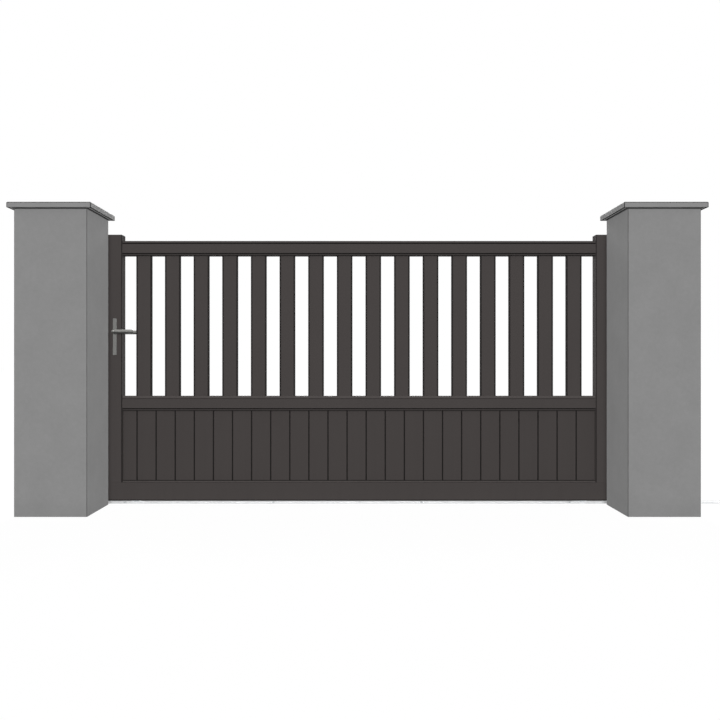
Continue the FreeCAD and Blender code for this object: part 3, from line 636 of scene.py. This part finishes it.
class Finishes:
    """Every material of the gate, built once."""

    def __init__(self) -> None:
        """Build the materials by their use."""
        self.made = {
            "render": RenderCoat().material(),
            "cap_stone": CastStone().material(),
            "frame": PowderCoat("powder_coat_frame").material(),
            "stile": self.stile_coat().material(),
            # painted highlight on each rail's upper shoulder, painted shade in the groove below it
            "top_rail": self.rail_coat("top_rail", 1.05, 0.04).material(),
            "mid_rail": self.rail_coat("mid_rail", 1.50, 0.75).material(),
            "bottom_rail": self.bottom_coat().material(),
            "slat": self.slat_coat().material(),
            "board": self.board_coat().material(),
            "track": BrushedMetal(
                "mill_aluminium_track", srgb(214, 215, 216), (0.02, 1.0, 1.0), 0.42, 0.6, 0.010,
                weathered_from=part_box("right_pillar")[1][0] + 0.30,
            ).material(),
            "handle": BrushedMetal(
                "satin_aluminium_handle", srgb(123, 123, 120), (0.03, 1.0, 1.0), 0.38, 0.20,
                # painted light on the lever's top and painted shade on its underside
                shade_below=SPINDLE_Z,
            ).material(),
            "handle_plate": BrushedMetal(
                "satin_aluminium_plate", srgb(109, 109, 107), (1.0, 1.0, 0.03), 0.38, 0.5
            ).material(),
            "stainless": BrushedMetal(
                "brushed_stainless", srgb(186, 185, 182), (1.0, 1.0, 0.03), 0.30, 0.9
            ).material(),
            "zinc": Galvanised().material(),
            "plastic": Moulded("dark_cap_plastic", srgb(58, 55, 54), 0.60, 0.00002).material(),
            "rubber": Moulded("buffer_rubber", srgb(34, 34, 35), 0.78, 0.00008, 0.10).material(),
            "nylon": Moulded("roller_nylon", srgb(62, 62, 63), 0.42, 0.00002, 0.04).material(),
        }

    @staticmethod
    def stile_coat() -> PowderCoat:
        """Coat of the stiles: painted shade on the sides, deeper on the closing stile's inner side, and a dark line
        along the inner edges.
        """
        edges = (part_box("left_stile")[1][0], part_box("right_stile")[0][0])
        return PowderCoat(
            "powder_coat_stile", srgb(67, 63, 62),
            # painted shade on the side faces
            recesses=(Recess(0.0385, 0.75),),
            bands=(
                *(Band(Axis.X, edge, 0.0040, 0.35, 0.0385) for edge in edges),
                # deeper painted shade on the closing stile's inner side face
                Band(Axis.X, edges[0], 0.0040, 0.70),
            ),
        )

    @staticmethod
    def rail_coat(node: str, upper: float, upper_groove: float) -> PowderCoat:
        """Coat of a stepped rail: painted shade on its shoulders and in the grooves beside its band, a painted
        highlight on its upper shoulder, and a dark line at its lower edge.

        Args:
            node: the rail.
            upper: factor of the painted highlight on its upper shoulder.
            upper_groove: factor of the painted shade in the groove below that shoulder.

        Returns:
            The coat.
        """
        low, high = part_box(node)
        return PowderCoat(
            f"powder_coat_{node}", srgb(67, 63, 62),
            # painted shade on the shoulders and grooves
            recesses=(Recess(0.0295, 0.86),),
            bands=(
                # painted highlight on the upper shoulder, painted shade in both grooves, dark line at the lower edge
                Band(Axis.Z, high[2], 0.0130, upper),
                Band(Axis.Z, high[2] - 0.0152, 0.0030, upper_groove),
                Band(Axis.Z, low[2] + 0.0117, 0.0032, 0.15),
                Band(Axis.Z, low[2], 0.0040, 0.40),
            ),
        )

    @staticmethod
    def bottom_coat() -> PowderCoat:
        """Coat of the bottom beam: painted highlight on the lip between dark lines, the upper one painted shade where
        the boards enter the lip, and a dark foot.
        """
        low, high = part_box("bottom_rail")
        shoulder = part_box("left_stile")[0][2]
        return PowderCoat(
            "powder_coat_bottom_rail",
            bands=(
                # painted shade where the boards enter the lip, painted highlight on the lip's face, a dark line at
                # the stiles' foot, and the dark foot
                Band(Axis.Z, high[2] - 0.0007, 0.0030, 0.40),
                Band(Axis.Z, high[2] - 0.0065, 0.0028, 1.50),
                Band(Axis.Z, shoulder, 0.0014, 0.60),
                Band(Axis.Z, low[2], 0.0060, 0.10),
            ),
        )

    @staticmethod
    def slat_coat() -> PowderCoat:
        """Coat of the slats: painted shade on their sides and along their edges."""
        first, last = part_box("slat_01"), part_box("slat_16")
        width = first[1][0] - first[0][0]
        pitch = (last[0][0] - first[0][0]) / 15
        return PowderCoat(
            "powder_coat_slat", srgb(67, 63, 62),
            # painted shade on the side faces
            recesses=(Recess(0.0092, 0.25),),
            # painted shade along both edges of each slat's face
            joints=tuple(
                Joints(first[0][0] + edge, pitch, 0.0095, 0.31, 0.0030) for edge in (0.0, width)
            ),
        )

    @staticmethod
    def board_coat() -> PowderCoat:
        """Coat of the boards: dark joints with painted shade in their grooves, painted shade where they enter the
        beam's lip, and a painted shadow under the mid rail.
        """
        last_joint, pitch = 3.1485, 0.1161
        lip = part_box("bottom_rail")[1][2]
        return PowderCoat(
            "powder_coat_board", srgb(65, 61, 60),
            # painted shade in the joints' grooves
            recesses=(Recess(0.0092, 0.42),),
            bands=(
                # painted shade where the boards enter the lip
                Band(Axis.Z, lip - 0.0007, 0.0030, 0.40),
                # painted shadow under the mid rail
                Band(Axis.Z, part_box("mid_rail")[0][2] - 0.0010, 0.0040, 0.50),
            ),
            joints=(Joints(last_joint, pitch, 0.0046, 0.44),),
        )

    def __getitem__(self, use: str) -> bpy.types.Material:
        """Return the material for a use."""
        return self.made[use]


def dress(finish: bpy.types.Material, *nodes: str) -> None:
    """Give CAD nodes their finish.

    Args:
        finish: the material.
        nodes: names of the nodes.
    """
    for name in nodes:
        node = frame["nodes"][name]
        if not node.material_slots:
            node.data.materials.append(finish)
        for slot in node.material_slots:
            slot.material = finish
        LOG.info("dressed %s in %s", name, finish.name)


def grid_faces(copies: int, rows: int, columns: int) -> np.ndarray:
    """Quads of several equal grids whose columns close into rings.

    A vertex's number is (copy * rows + row) * columns + column, and the last column meets the first.

    Args:
        copies: number of grids.
        rows: rows of each grid.
        columns: columns of each grid.

    Returns:
        Four vertex numbers for each quad.
    """
    copy, row, column = np.meshgrid(
        np.arange(copies), np.arange(rows - 1), np.arange(columns), indexing="ij"
    )
    base = (copy * rows + row) * columns
    after = (column + 1) % columns
    quads = np.stack([base + column, base + after, base + columns + after, base + columns + column], axis=-1)
    return quads.reshape(-1, 4)


def make_piece(
    name: str, grids: np.ndarray, finish: bpy.types.Material, body: str, crease: float = 35.0
) -> bpy.types.Object:
    """Turn ring grids into one finished piece that rides on a body.

    Rows that shrink to a point are merged into a pole, so the shell is closed, and edges that
    turn more than crease are kept sharp.

    Args:
        name: the piece's name.
        grids: points by copy, row, column and axis, in metres in the frame.
        finish: its material.
        body: the CAD body that carries it.
        crease: angle of a sharp edge, in degrees.

    Returns:
        The piece.
    """
    copies, rows, columns, _ = grids.shape
    mesh = bpy.data.meshes.new(name)
    mesh.from_pydata(grids.reshape(-1, 3).tolist(), [], grid_faces(copies, rows, columns).tolist())
    shell = bmesh.new()
    shell.from_mesh(mesh)
    bmesh.ops.remove_doubles(shell, verts=shell.verts, dist=1e-7)
    bmesh.ops.recalc_face_normals(shell, faces=shell.faces)
    shell.to_mesh(mesh)
    shell.free()
    mesh.polygons.foreach_set("use_smooth", np.ones(len(mesh.polygons), dtype=bool))
    mesh.set_sharp_from_angle(angle=math.radians(crease))
    mesh.materials.append(finish)
    piece = bpy.data.objects.new(name, mesh)
    bpy.context.scene.collection.objects.link(piece)
    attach(piece, body)
    LOG.info("built %s on %s: %d faces", name, body, len(mesh.polygons))
    return piece


class Head(Enum):
    """Kinds of screw head. Each row is a radius, a height and how hexagonal the ring is, in millimetres."""

    HEX_WITH_WASHER = (
        (0.0, 0.0, 0), (8.0, 0.0, 0), (8.0, 1.3, 0), (7.7, 1.6, 0), (6.5, 1.6, 1),
        (6.5, 6.0, 1), (6.2, 6.9, 0), (0.0, 6.9, 0),
    )
    NUT_ON_STUD = (
        (0.0, 0.0, 0), (12.0, 0.0, 0), (12.0, 2.2, 0), (11.6, 2.5, 0), (9.5, 2.5, 0), (9.2, 3.2, 1),
        (9.2, 10.0, 1), (8.8, 11.0, 0), (6.0, 11.0, 0), (6.0, 14.0, 0), (5.2, 15.0, 0), (0.0, 15.0, 0),
    )
    BUTTON = (
        (0.0, 0.0, 0), (4.0, 0.0, 0), (3.9, 0.7, 0), (3.4, 1.4, 0), (2.6, 1.9, 0), (1.9, 2.05, 0),
        (1.5, 2.05, 1), (1.5, 0.9, 1), (0.0, 0.8, 0),
    )
    PLUG = (
        (0.0, 0.0, 0), (8.0, 0.0, 0), (8.0, 0.8, 0), (7.2, 1.3, 0), (4.0, 1.6, 0), (0.0, 1.7, 0),
    )

    def grid(self) -> np.ndarray:
        """Points of the head about its own axis: ring radius times the angle's cosine and sine, and height.

        A hexagonal ring's radius is half its width across flats over the cosine of the angle
        from the middle of the nearest flat.

        Returns:
            Points by row, column and axis, in metres.
        """
        radius, height, hexagonal = (np.array(part, dtype=float) for part in zip(*self.value))
        angle = np.arange(RING_POINTS) * (2 * math.pi / RING_POINTS)
        sixth = math.pi / 3
        from_flat = (angle + sixth / 2) % sixth - sixth / 2
        reach = 1.0 + hexagonal[:, None] * (1.0 / np.cos(from_flat)[None, :] - 1.0)
        ring = radius[:, None] * reach
        points = np.stack(
            [ring * np.cos(angle), ring * np.sin(angle), np.broadcast_to(height[:, None], ring.shape)], axis=-1
        )
        return points / 1000.0


class Facing(Enum):
    """Direction in which a fitting's head points. Each row is where the head's own x, y and z go."""

    UP = ((1, 0, 0), (0, 1, 0), (0, 0, 1))
    TO_STREET = ((1, 0, 0), (0, 0, 1), (0, -1, 0))
    TO_DRIVE = ((-1, 0, 0), (0, 0, 1), (0, 1, 0))
    TO_LEFT = ((0, 1, 0), (0, 0, 1), (-1, 0, 0))

    def turned(self, points: np.ndarray) -> np.ndarray:
        """Turn points from the head's own axes to the frame's."""
        return points @ np.array(self.value, dtype=float)


@dataclass
class Fixings:
    """A set of equal screw heads or nuts on one body."""

    name: str
    head: Head
    facing: Facing
    places: list[Triple]
    body: str
    slot: str

    def build(self, finish: bpy.types.Material) -> bpy.types.Object:
        """Set one head at each place.

        Args:
            finish: their material.

        Returns:
            The piece that holds them all.
        """
        head = self.facing.turned(self.head.grid())
        grids = np.array(self.places)[:, None, None, :] + head[None]
        return make_piece(self.name, grids, finish, self.body)


class Side(Enum):
    """Face of the leaf: -1 looks to the street, 1 into the drive."""

    STREET = -1
    DRIVE = 1


@dataclass
class LeverSet:
    """Lever handles on both faces of the closing stile, their plates' screws and the spindle."""

    face: float = 0.040
    plate: float = 0.008
    standoff: float = 0.045
    tail: float = 0.003
    elbow: float = 0.014
    neck_radius: float = 0.008
    grip_radius: float = 0.012
    swell_start: float = 0.012
    swell_end: float = 0.028
    length: float = 0.120
    end_round: float = 0.0055
    screw_from_end: float = 0.012
    spindle_half: float = 0.004

    def route(self, side: Side) -> tuple[np.ndarray, np.ndarray, np.ndarray]:
        """Centre line, direction and radius of a lever, from its tail to its tip.

        The neck runs straight out of the plate and swells from its own radius to the grip's by a
        smooth step, a quarter circle turns it along the leaf, and the grip runs straight. At the
        tip the radius falls by a quarter circle and a flat end closes it.

        Args:
            side: face of the leaf.

        Returns:
            Points by row and axis, unit directions by row and axis, and the radius of each row.
        """
        sign = side.value
        face_y = LEAF_MIDDLE + sign * self.face
        out = np.concatenate([[-self.tail], np.linspace(0.0, self.standoff - self.elbow, 20)[:-1]])
        share = np.clip((out - self.swell_start) / (self.swell_end - self.swell_start), 0.0, 1.0)
        neck_size = self.neck_radius + (self.grip_radius - self.neck_radius) * share * share * (3 - 2 * share)
        neck_points = np.stack([
            np.full(out.shape, SPINDLE_X), face_y + sign * out, np.full(out.shape, SPINDLE_Z)
        ], axis=-1)
        turn = np.linspace(0.0, math.pi / 2, 13)
        turn_points = np.stack([
            SPINDLE_X + self.elbow * (1 - np.cos(turn)),
            face_y + sign * (self.standoff - self.elbow + self.elbow * np.sin(turn)),
            np.full(turn.shape, SPINDLE_Z),
        ], axis=-1)
        tip = np.linspace(0.0, math.pi / 2, 9)
        grip_x = np.concatenate([
            np.linspace(self.elbow, self.length - self.end_round, 8)[1:-1],
            self.length - self.end_round * (1 - np.sin(tip)),
            [self.length],
        ])
        grip_points = np.stack([
            SPINDLE_X + grip_x,
            np.full(grip_x.shape, face_y + sign * self.standoff),
            np.full(grip_x.shape, SPINDLE_Z),
        ], axis=-1)
        grip_size = np.full(grip_x.shape, self.grip_radius)
        grip_size[-len(tip) - 1:-1] -= self.end_round * (1 - np.cos(tip))
        grip_size[-1] = 0.0
        points = np.concatenate([neck_points[:1], neck_points, turn_points, grip_points])
        heading = np.concatenate([
            np.zeros(len(out) + 1), turn, np.full(grip_x.shape, math.pi / 2)
        ])
        way = np.stack([np.sin(heading), sign * np.cos(heading), np.zeros(heading.shape)], axis=-1)
        size = np.concatenate([[0.0], neck_size, np.full(turn.shape, self.grip_radius), grip_size])
        return points, way, size

    def build_lever(self, side: Side, finish: bpy.types.Material) -> bpy.types.Object:
        """Carry a round section along the route.

        A ring's point is the centre plus the radius times the angle's cosine along the level
        normal of the route and its sine upwards.

        Args:
            side: face of the leaf.
            finish: the lever's material.

        Returns:
            The lever.
        """
        points, way, radius = self.route(side)
        level = np.stack([-way[:, 1], way[:, 0], np.zeros(len(way))], axis=-1)
        angle = np.arange(2 * RING_POINTS) * (math.pi / RING_POINTS)
        ring = level[:, None, :] * np.cos(angle)[None, :, None]
        ring = ring + np.array([0.0, 0.0, 1.0]) * np.sin(angle)[None, :, None]
        grid = points[:, None, :] + radius[:, None, None] * ring
        node = "front_lever" if side is Side.STREET else "rear_lever"
        piece = make_piece(f"{node}_swept", grid[None], finish, "handle")
        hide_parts(node)
        return piece

    def build_collar(self, side: Side, finish: bpy.types.Material) -> bpy.types.Object:
        """Bearing ring between plate and neck: a low turned ring with rounded edges.

        Args:
            side: face of the leaf.
            finish: the ring's material.

        Returns:
            The ring.
        """
        inner, outer, rise = self.neck_radius + 0.0002, self.neck_radius + 0.0024, 0.0026
        radius = np.array([inner, outer, outer, outer - 0.0004, inner + 0.0008, inner, inner])
        height = np.array([0.0, 0.0, rise - 0.0009, rise - 0.0002, rise, rise - 0.0003, 0.0])
        angle = np.arange(2 * RING_POINTS) * (math.pi / RING_POINTS)
        face_y = LEAF_MIDDLE + side.value * (self.face + self.plate)
        grid = np.stack([
            SPINDLE_X + radius[:, None] * np.cos(angle),
            np.broadcast_to((face_y + side.value * height)[:, None], (len(radius), len(angle))),
            SPINDLE_Z + radius[:, None] * np.sin(angle),
        ], axis=-1)
        name = f"{side.name.lower()}_bearing_ring"
        return make_piece(name, grid[None], finish, "leaf")

    def build_spindle(self, finish: bpy.types.Material) -> bpy.types.Object:
        """Square bar that joins the two levers through the lock.

        Args:
            finish: its material.

        Returns:
            The bar.
        """
        half = self.spindle_half
        reach = self.face - self.tail
        corner = np.array([[1, 1], [-1, 1], [-1, -1], [1, -1]]) * half
        size = np.array([0.0, 1.0, 1.0, 0.0])
        run = np.array([-reach, -reach, reach, reach])
        grid = np.stack([
            SPINDLE_X + size[:, None] * corner[None, :, 0],
            np.broadcast_to((LEAF_MIDDLE + run)[:, None], (4, 4)),
            SPINDLE_Z + size[:, None] * corner[None, :, 1],
        ], axis=-1)
        return make_piece("lever_spindle", grid[None], finish, "handle")

    def build(self, finishes: Finishes) -> None:
        """Build the levers with their small parts, and dress the plates.

        Args:
            finishes: the gate's materials.
        """
        dress(finishes["handle_plate"], "front_handle_plate", "rear_handle_plate")
        for side in Side:
            self.build_lever(side, finishes["handle"])
            self.build_collar(side, finishes["handle"])
        self.build_spindle(finishes["stainless"])
        low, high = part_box("rear_handle_plate")
        ends = (low[2] + self.screw_from_end, high[2] - self.screw_from_end)
        Fixings(
            "rear_plate_screws", Head.BUTTON, Facing.TO_DRIVE, [(SPINDLE_X, high[1], z) for z in ends],
            "leaf", "stainless_steel",
        ).build(finishes["stainless"])


@dataclass
class LockFace:
    """Faceplate of the lock on the closing stile's edge."""

    screw_from_end: float = 0.009

    def build(self, finishes: Finishes) -> None:
        """Dress the faceplate and set its two screws.

        Args:
            finishes: the gate's materials.
        """
        dress(finishes["stainless"], "lock_faceplate")
        low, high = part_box("lock_faceplate")
        ends = (low[2] + self.screw_from_end, high[2] - self.screw_from_end)
        Fixings(
            "faceplate_screws", Head.BUTTON, Facing.TO_LEFT, [(low[0], LEAF_MIDDLE, z) for z in ends],
            "leaf", "stainless_steel",
        ).build(finishes["stainless"])


@dataclass
class Leaf:
    """The sliding leaf's profiles, infill and caps."""

    slats: int = 16

    def build(self, finishes: Finishes) -> None:
        """Dress the leaf's nodes.

        Args:
            finishes: the gate's materials.
        """
        dress(finishes["bottom_rail"], "bottom_rail")
        dress(finishes["stile"], "left_stile", "right_stile")
        dress(finishes["mid_rail"], "mid_rail")
        dress(finishes["top_rail"], "top_rail")
        dress(finishes["frame"], "top_rail_cover", "upper_guide_rail")
        dress(finishes["board"], "lower_panel")
        dress(finishes["slat"], *(f"slat_{number:02d}" for number in range(1, self.slats + 1)))
        dress(finishes["plastic"], "bottom_rail_end_caps", "stile_caps")
        dress(finishes["zinc"], "wheels", "wheel_carriages")


@dataclass
class Pillars:
    """The two rendered pillars and their cap slabs."""

    def build(self, finishes: Finishes) -> None:
        """Dress the pillars and caps.

        Args:
            finishes: the gate's materials.
        """
        dress(finishes["render"], "left_pillar", "right_pillar")
        dress(finishes["cap_stone"], "left_pillar_cap", "right_pillar_cap")


@dataclass
class Ground:
    """Track on the ground with its anchors, and the end stop with its buffer."""

    hole_from_end: float = 0.150
    holes_per_length: int = 4
    hole_offset: float = 0.021
    base_thickness: float = 0.003
    stop_web: float = 0.008
    stop_floor: float = 0.022
    stop_bolt_offset: float = 0.0135

    def build(self, finishes: Finishes) -> None:
        """Dress track, stop and rubber, and set the anchors.

        Args:
            finishes: the gate's materials.
        """
        dress(finishes["track"], "track_near", "track_far")
        dress(finishes["zinc"], "track_stop")
        dress(finishes["rubber"], "rubber_buffers")
        anchors = []
        for length in ("track_near", "track_far"):
            low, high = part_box(length)
            along = np.linspace(low[0] + self.hole_from_end, high[0] - self.hole_from_end, self.holes_per_length)
            anchors += [
                (x, LEAF_MIDDLE + side * self.hole_offset, self.base_thickness)
                for x in along for side in (-1, 1)
            ]
        Fixings(
            "track_anchors", Head.HEX_WITH_WASHER, Facing.UP, anchors, "posts", "galvanised_steel"
        ).build(finishes["zinc"])
        low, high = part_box("track_stop")
        middle = (low[0] + self.stop_web + high[0]) / 2
        bolts = [(middle, LEAF_MIDDLE + side * self.stop_bolt_offset, self.stop_floor) for side in (-1, 1)]
        Fixings(
            "stop_bolts", Head.HEX_WITH_WASHER, Facing.UP, bolts, "posts", "galvanised_steel"
        ).build(finishes["zinc"])


@dataclass
class Receiver:
    """Channel on the left pillar that takes the closing stile."""

    leg_middle: float = 0.029
    wall: float = 0.003
    bolts: int = 5
    bolt_from_end: float = 0.100

    def build(self, finishes: Finishes) -> None:
        """Dress the channel and bolt its leg to the pillar.

        Args:
            finishes: the gate's materials.
        """
        dress(finishes["frame"], "receiver_channel")
        low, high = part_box("receiver_channel")
        levels = np.linspace(low[2] + self.bolt_from_end, high[2] - self.bolt_from_end, self.bolts)
        places = [(low[0] + self.leg_middle, low[1] + self.wall, z) for z in levels]
        Fixings(
            "receiver_bolts", Head.HEX_WITH_WASHER, Facing.TO_DRIVE, places, "posts", "galvanised_steel"
        ).build(finishes["zinc"])


@dataclass
class UpperGuide:
    """Roller bracket on the right pillar, and the guide rail on the leaf's back."""

    bracket_wall: float = 0.006
    bolt_below_top: float = 0.026
    bolt_offsets: tuple[float, ...] = (-0.070, 0.0, 0.070)
    pin_offsets: tuple[float, ...] = (-0.070, 0.070)
    upstand: float = 0.058
    stile_inset: float = 0.050

    def build(self, finishes: Finishes) -> None:
        """Dress bracket and rollers, and set bolts, nuts and plugs.

        Args:
            finishes: the gate's materials.
        """
        dress(finishes["zinc"], "guide_bracket")
        dress(finishes["nylon"], "guide_rollers")
        low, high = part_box("guide_bracket")
        middle = (low[0] + high[0]) / 2
        wall = low[1] + self.bracket_wall
        bolts = [(middle + offset, wall, high[2] - self.bolt_below_top) for offset in self.bolt_offsets]
        Fixings(
            "bracket_bolts", Head.HEX_WITH_WASHER, Facing.TO_DRIVE, bolts, "posts", "galvanised_steel"
        ).build(finishes["zinc"])
        rail_low, rail_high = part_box("upper_guide_rail")
        lane = (rail_low[1] + rail_high[1]) / 2
        nuts = [(middle + offset, lane, high[2] - self.upstand) for offset in self.pin_offsets]
        Fixings(
            "roller_pin_nuts", Head.NUT_ON_STUD, Facing.UP, nuts, "posts", "galvanised_steel"
        ).build(finishes["zinc"])
        level = (rail_low[2] + rail_high[2]) / 2
        stiles = (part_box("left_stile")[1][0] - self.stile_inset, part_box("right_stile")[0][0] + self.stile_inset)
        plugs = [(x, rail_high[1], level) for x in stiles]
        Fixings(
            "guide_rail_plugs", Head.PLUG, Facing.TO_DRIVE, plugs, "leaf", "dark_plastic"
        ).build(finishes["plastic"])


@dataclass(frozen=True)
class Lamp:
    """One plain sun lamp."""

    name: str
    azimuth: float
    elevation: float
    level: float
    softness: float = 20.0
    casts: bool = True

    def place(self) -> None:
        """Set the lamp. It shines from azimuth and elevation, in degrees, and lights a square face to level."""
        light = bpy.data.lights.new(self.name, "SUN")
        light.energy = self.level * math.pi
        light.angle = math.radians(self.softness)
        light.use_shadow = self.casts
        lamp = bpy.data.objects.new(self.name, light)
        lamp.rotation_euler = (math.radians(90.0 - self.elevation), 0.0, math.radians(self.azimuth))
        bpy.context.scene.collection.objects.link(lamp)


@dataclass
class Studio:
    """White floor and surroundings, plain lamps and the camera."""

    camera_place: Triple = (1.7025, -4.916, 0.8725)
    lens: float = 42.5
    shift_x: float = 0.0035
    shift_y: float = -0.0005
    floor_half: float = 60.0
    floor_bounce: float = 0.12
    sky: float = 0.26
    shadow_share: float = 0.05
    lamps: tuple[Lamp, ...] = (
        Lamp("street_lamp", 0.0, 8.0, 0.245, 5.0),
        Lamp("right_fill", 65.0, 25.0, 0.82, 10.0, False),
        Lamp("left_fill", -65.0, 25.0, 0.72, 10.0, False),
        Lamp("drive_lamp", 180.0, 25.0, 0.80, 12.0),
    )

    def build_floor(self) -> None:
        """Lay a pale floor that the camera sees as white with the gate's shadow on it."""
        half = self.floor_half
        mesh = bpy.data.meshes.new("floor")
        mesh.from_pydata([(-half, -half, 0), (half, -half, 0), (half, half, 0), (-half, half, 0)], [], [(0, 1, 2, 3)])
        floor = bpy.data.objects.new("floor", mesh)
        bpy.context.scene.collection.objects.link(floor)
        shader = Shader("pale_floor")
        seen = self.seen_rays(shader)
        pale = shader.node("ShaderNodeBsdfDiffuse", {}, {"Color": (0.92, 0.92, 0.92)}, "BSDF")
        white = shader.node("ShaderNodeEmission", {}, {"Color": (1.0, 1.0, 1.0), "Strength": 1.0}, "Emission")
        dim = shader.node(
            "ShaderNodeBsdfDiffuse", {}, {"Color": (self.floor_bounce,) * 3}, "BSDF"
        )
        shown = shader.node(
            "ShaderNodeMixShader", {}, {"Fac": 1.0 - self.shadow_share, "Shader": pale, "Shader_001": white}, "Shader"
        )
        surface = shader.node("ShaderNodeMixShader", {}, {"Fac": seen, "Shader": dim, "Shader_001": shown}, "Shader")
        shader.node("ShaderNodeOutputMaterial", {}, {"Surface": surface})
        mesh.materials.append(shader.material)

    @staticmethod
    def seen_rays(shader: Shader) -> Signal:
        """1 for rays from the camera, through glass or off a gloss, 0 for the light that falls on things."""
        path = shader.node("ShaderNodeLightPath", {}, {}, "Is Camera Ray")
        outputs = path.socket.node.outputs
        glossy = Signal(shader, outputs["Is Glossy Ray"])
        through = Signal(shader, outputs["Is Transmission Ray"])
        return path.most(glossy).most(through)

    def build_world(self) -> None:
        """White surroundings for the eye, and an even dim sky for the light."""
        world = bpy.data.worlds.new("surroundings")
        bpy.context.scene.world = world
        world.use_nodes = True
        shader = Shader.__new__(Shader)
        shader.tree = world.node_tree
        shader.tree.nodes.clear()
        seen = self.seen_rays(shader)
        level = seen * (1.0 - self.sky) + self.sky
        sky = shader.node("ShaderNodeBackground", {}, {"Color": (1.0, 1.0, 1.0), "Strength": level}, "Background")
        shader.node("ShaderNodeOutputWorld", {}, {"Surface": sky})

    def build_camera(self) -> None:
        """Stand the camera in front of the gate, level, with the photograph's field of view."""
        data = bpy.data.cameras.new("camera")
        data.sensor_width = 36.0
        data.lens = self.lens
        data.shift_x = self.shift_x
        data.shift_y = self.shift_y
        data.clip_end = 200.0
        camera = bpy.data.objects.new("camera", data)
        camera.location = self.camera_place
        camera.rotation_euler = (math.radians(90.0), 0.0, 0.0)
        bpy.context.scene.collection.objects.link(camera)
        bpy.context.scene.camera = camera

    def build(self) -> None:
        """Set up floor, surroundings, lamps, camera and the plain view transform."""
        self.build_floor()
        self.build_world()
        for lamp in self.lamps:
            lamp.place()
        self.build_camera()
        bpy.context.scene.view_settings.view_transform = "Standard"
        LOG.info("studio ready")


def main() -> None:
    """Dress the frame, build the fittings and set up the studio."""
    logging.basicConfig(level=logging.INFO, format="%(name)s: %(message)s")
    Studio().build()
    finishes = Finishes()
    Pillars().build(finishes)
    Leaf().build(finishes)
    LeverSet().build(finishes)
    LockFace().build(finishes)
    Ground().build(finishes)
    Receiver().build(finishes)
    UpperGuide().build(finishes)


if __name__ == "__main__":
    main()
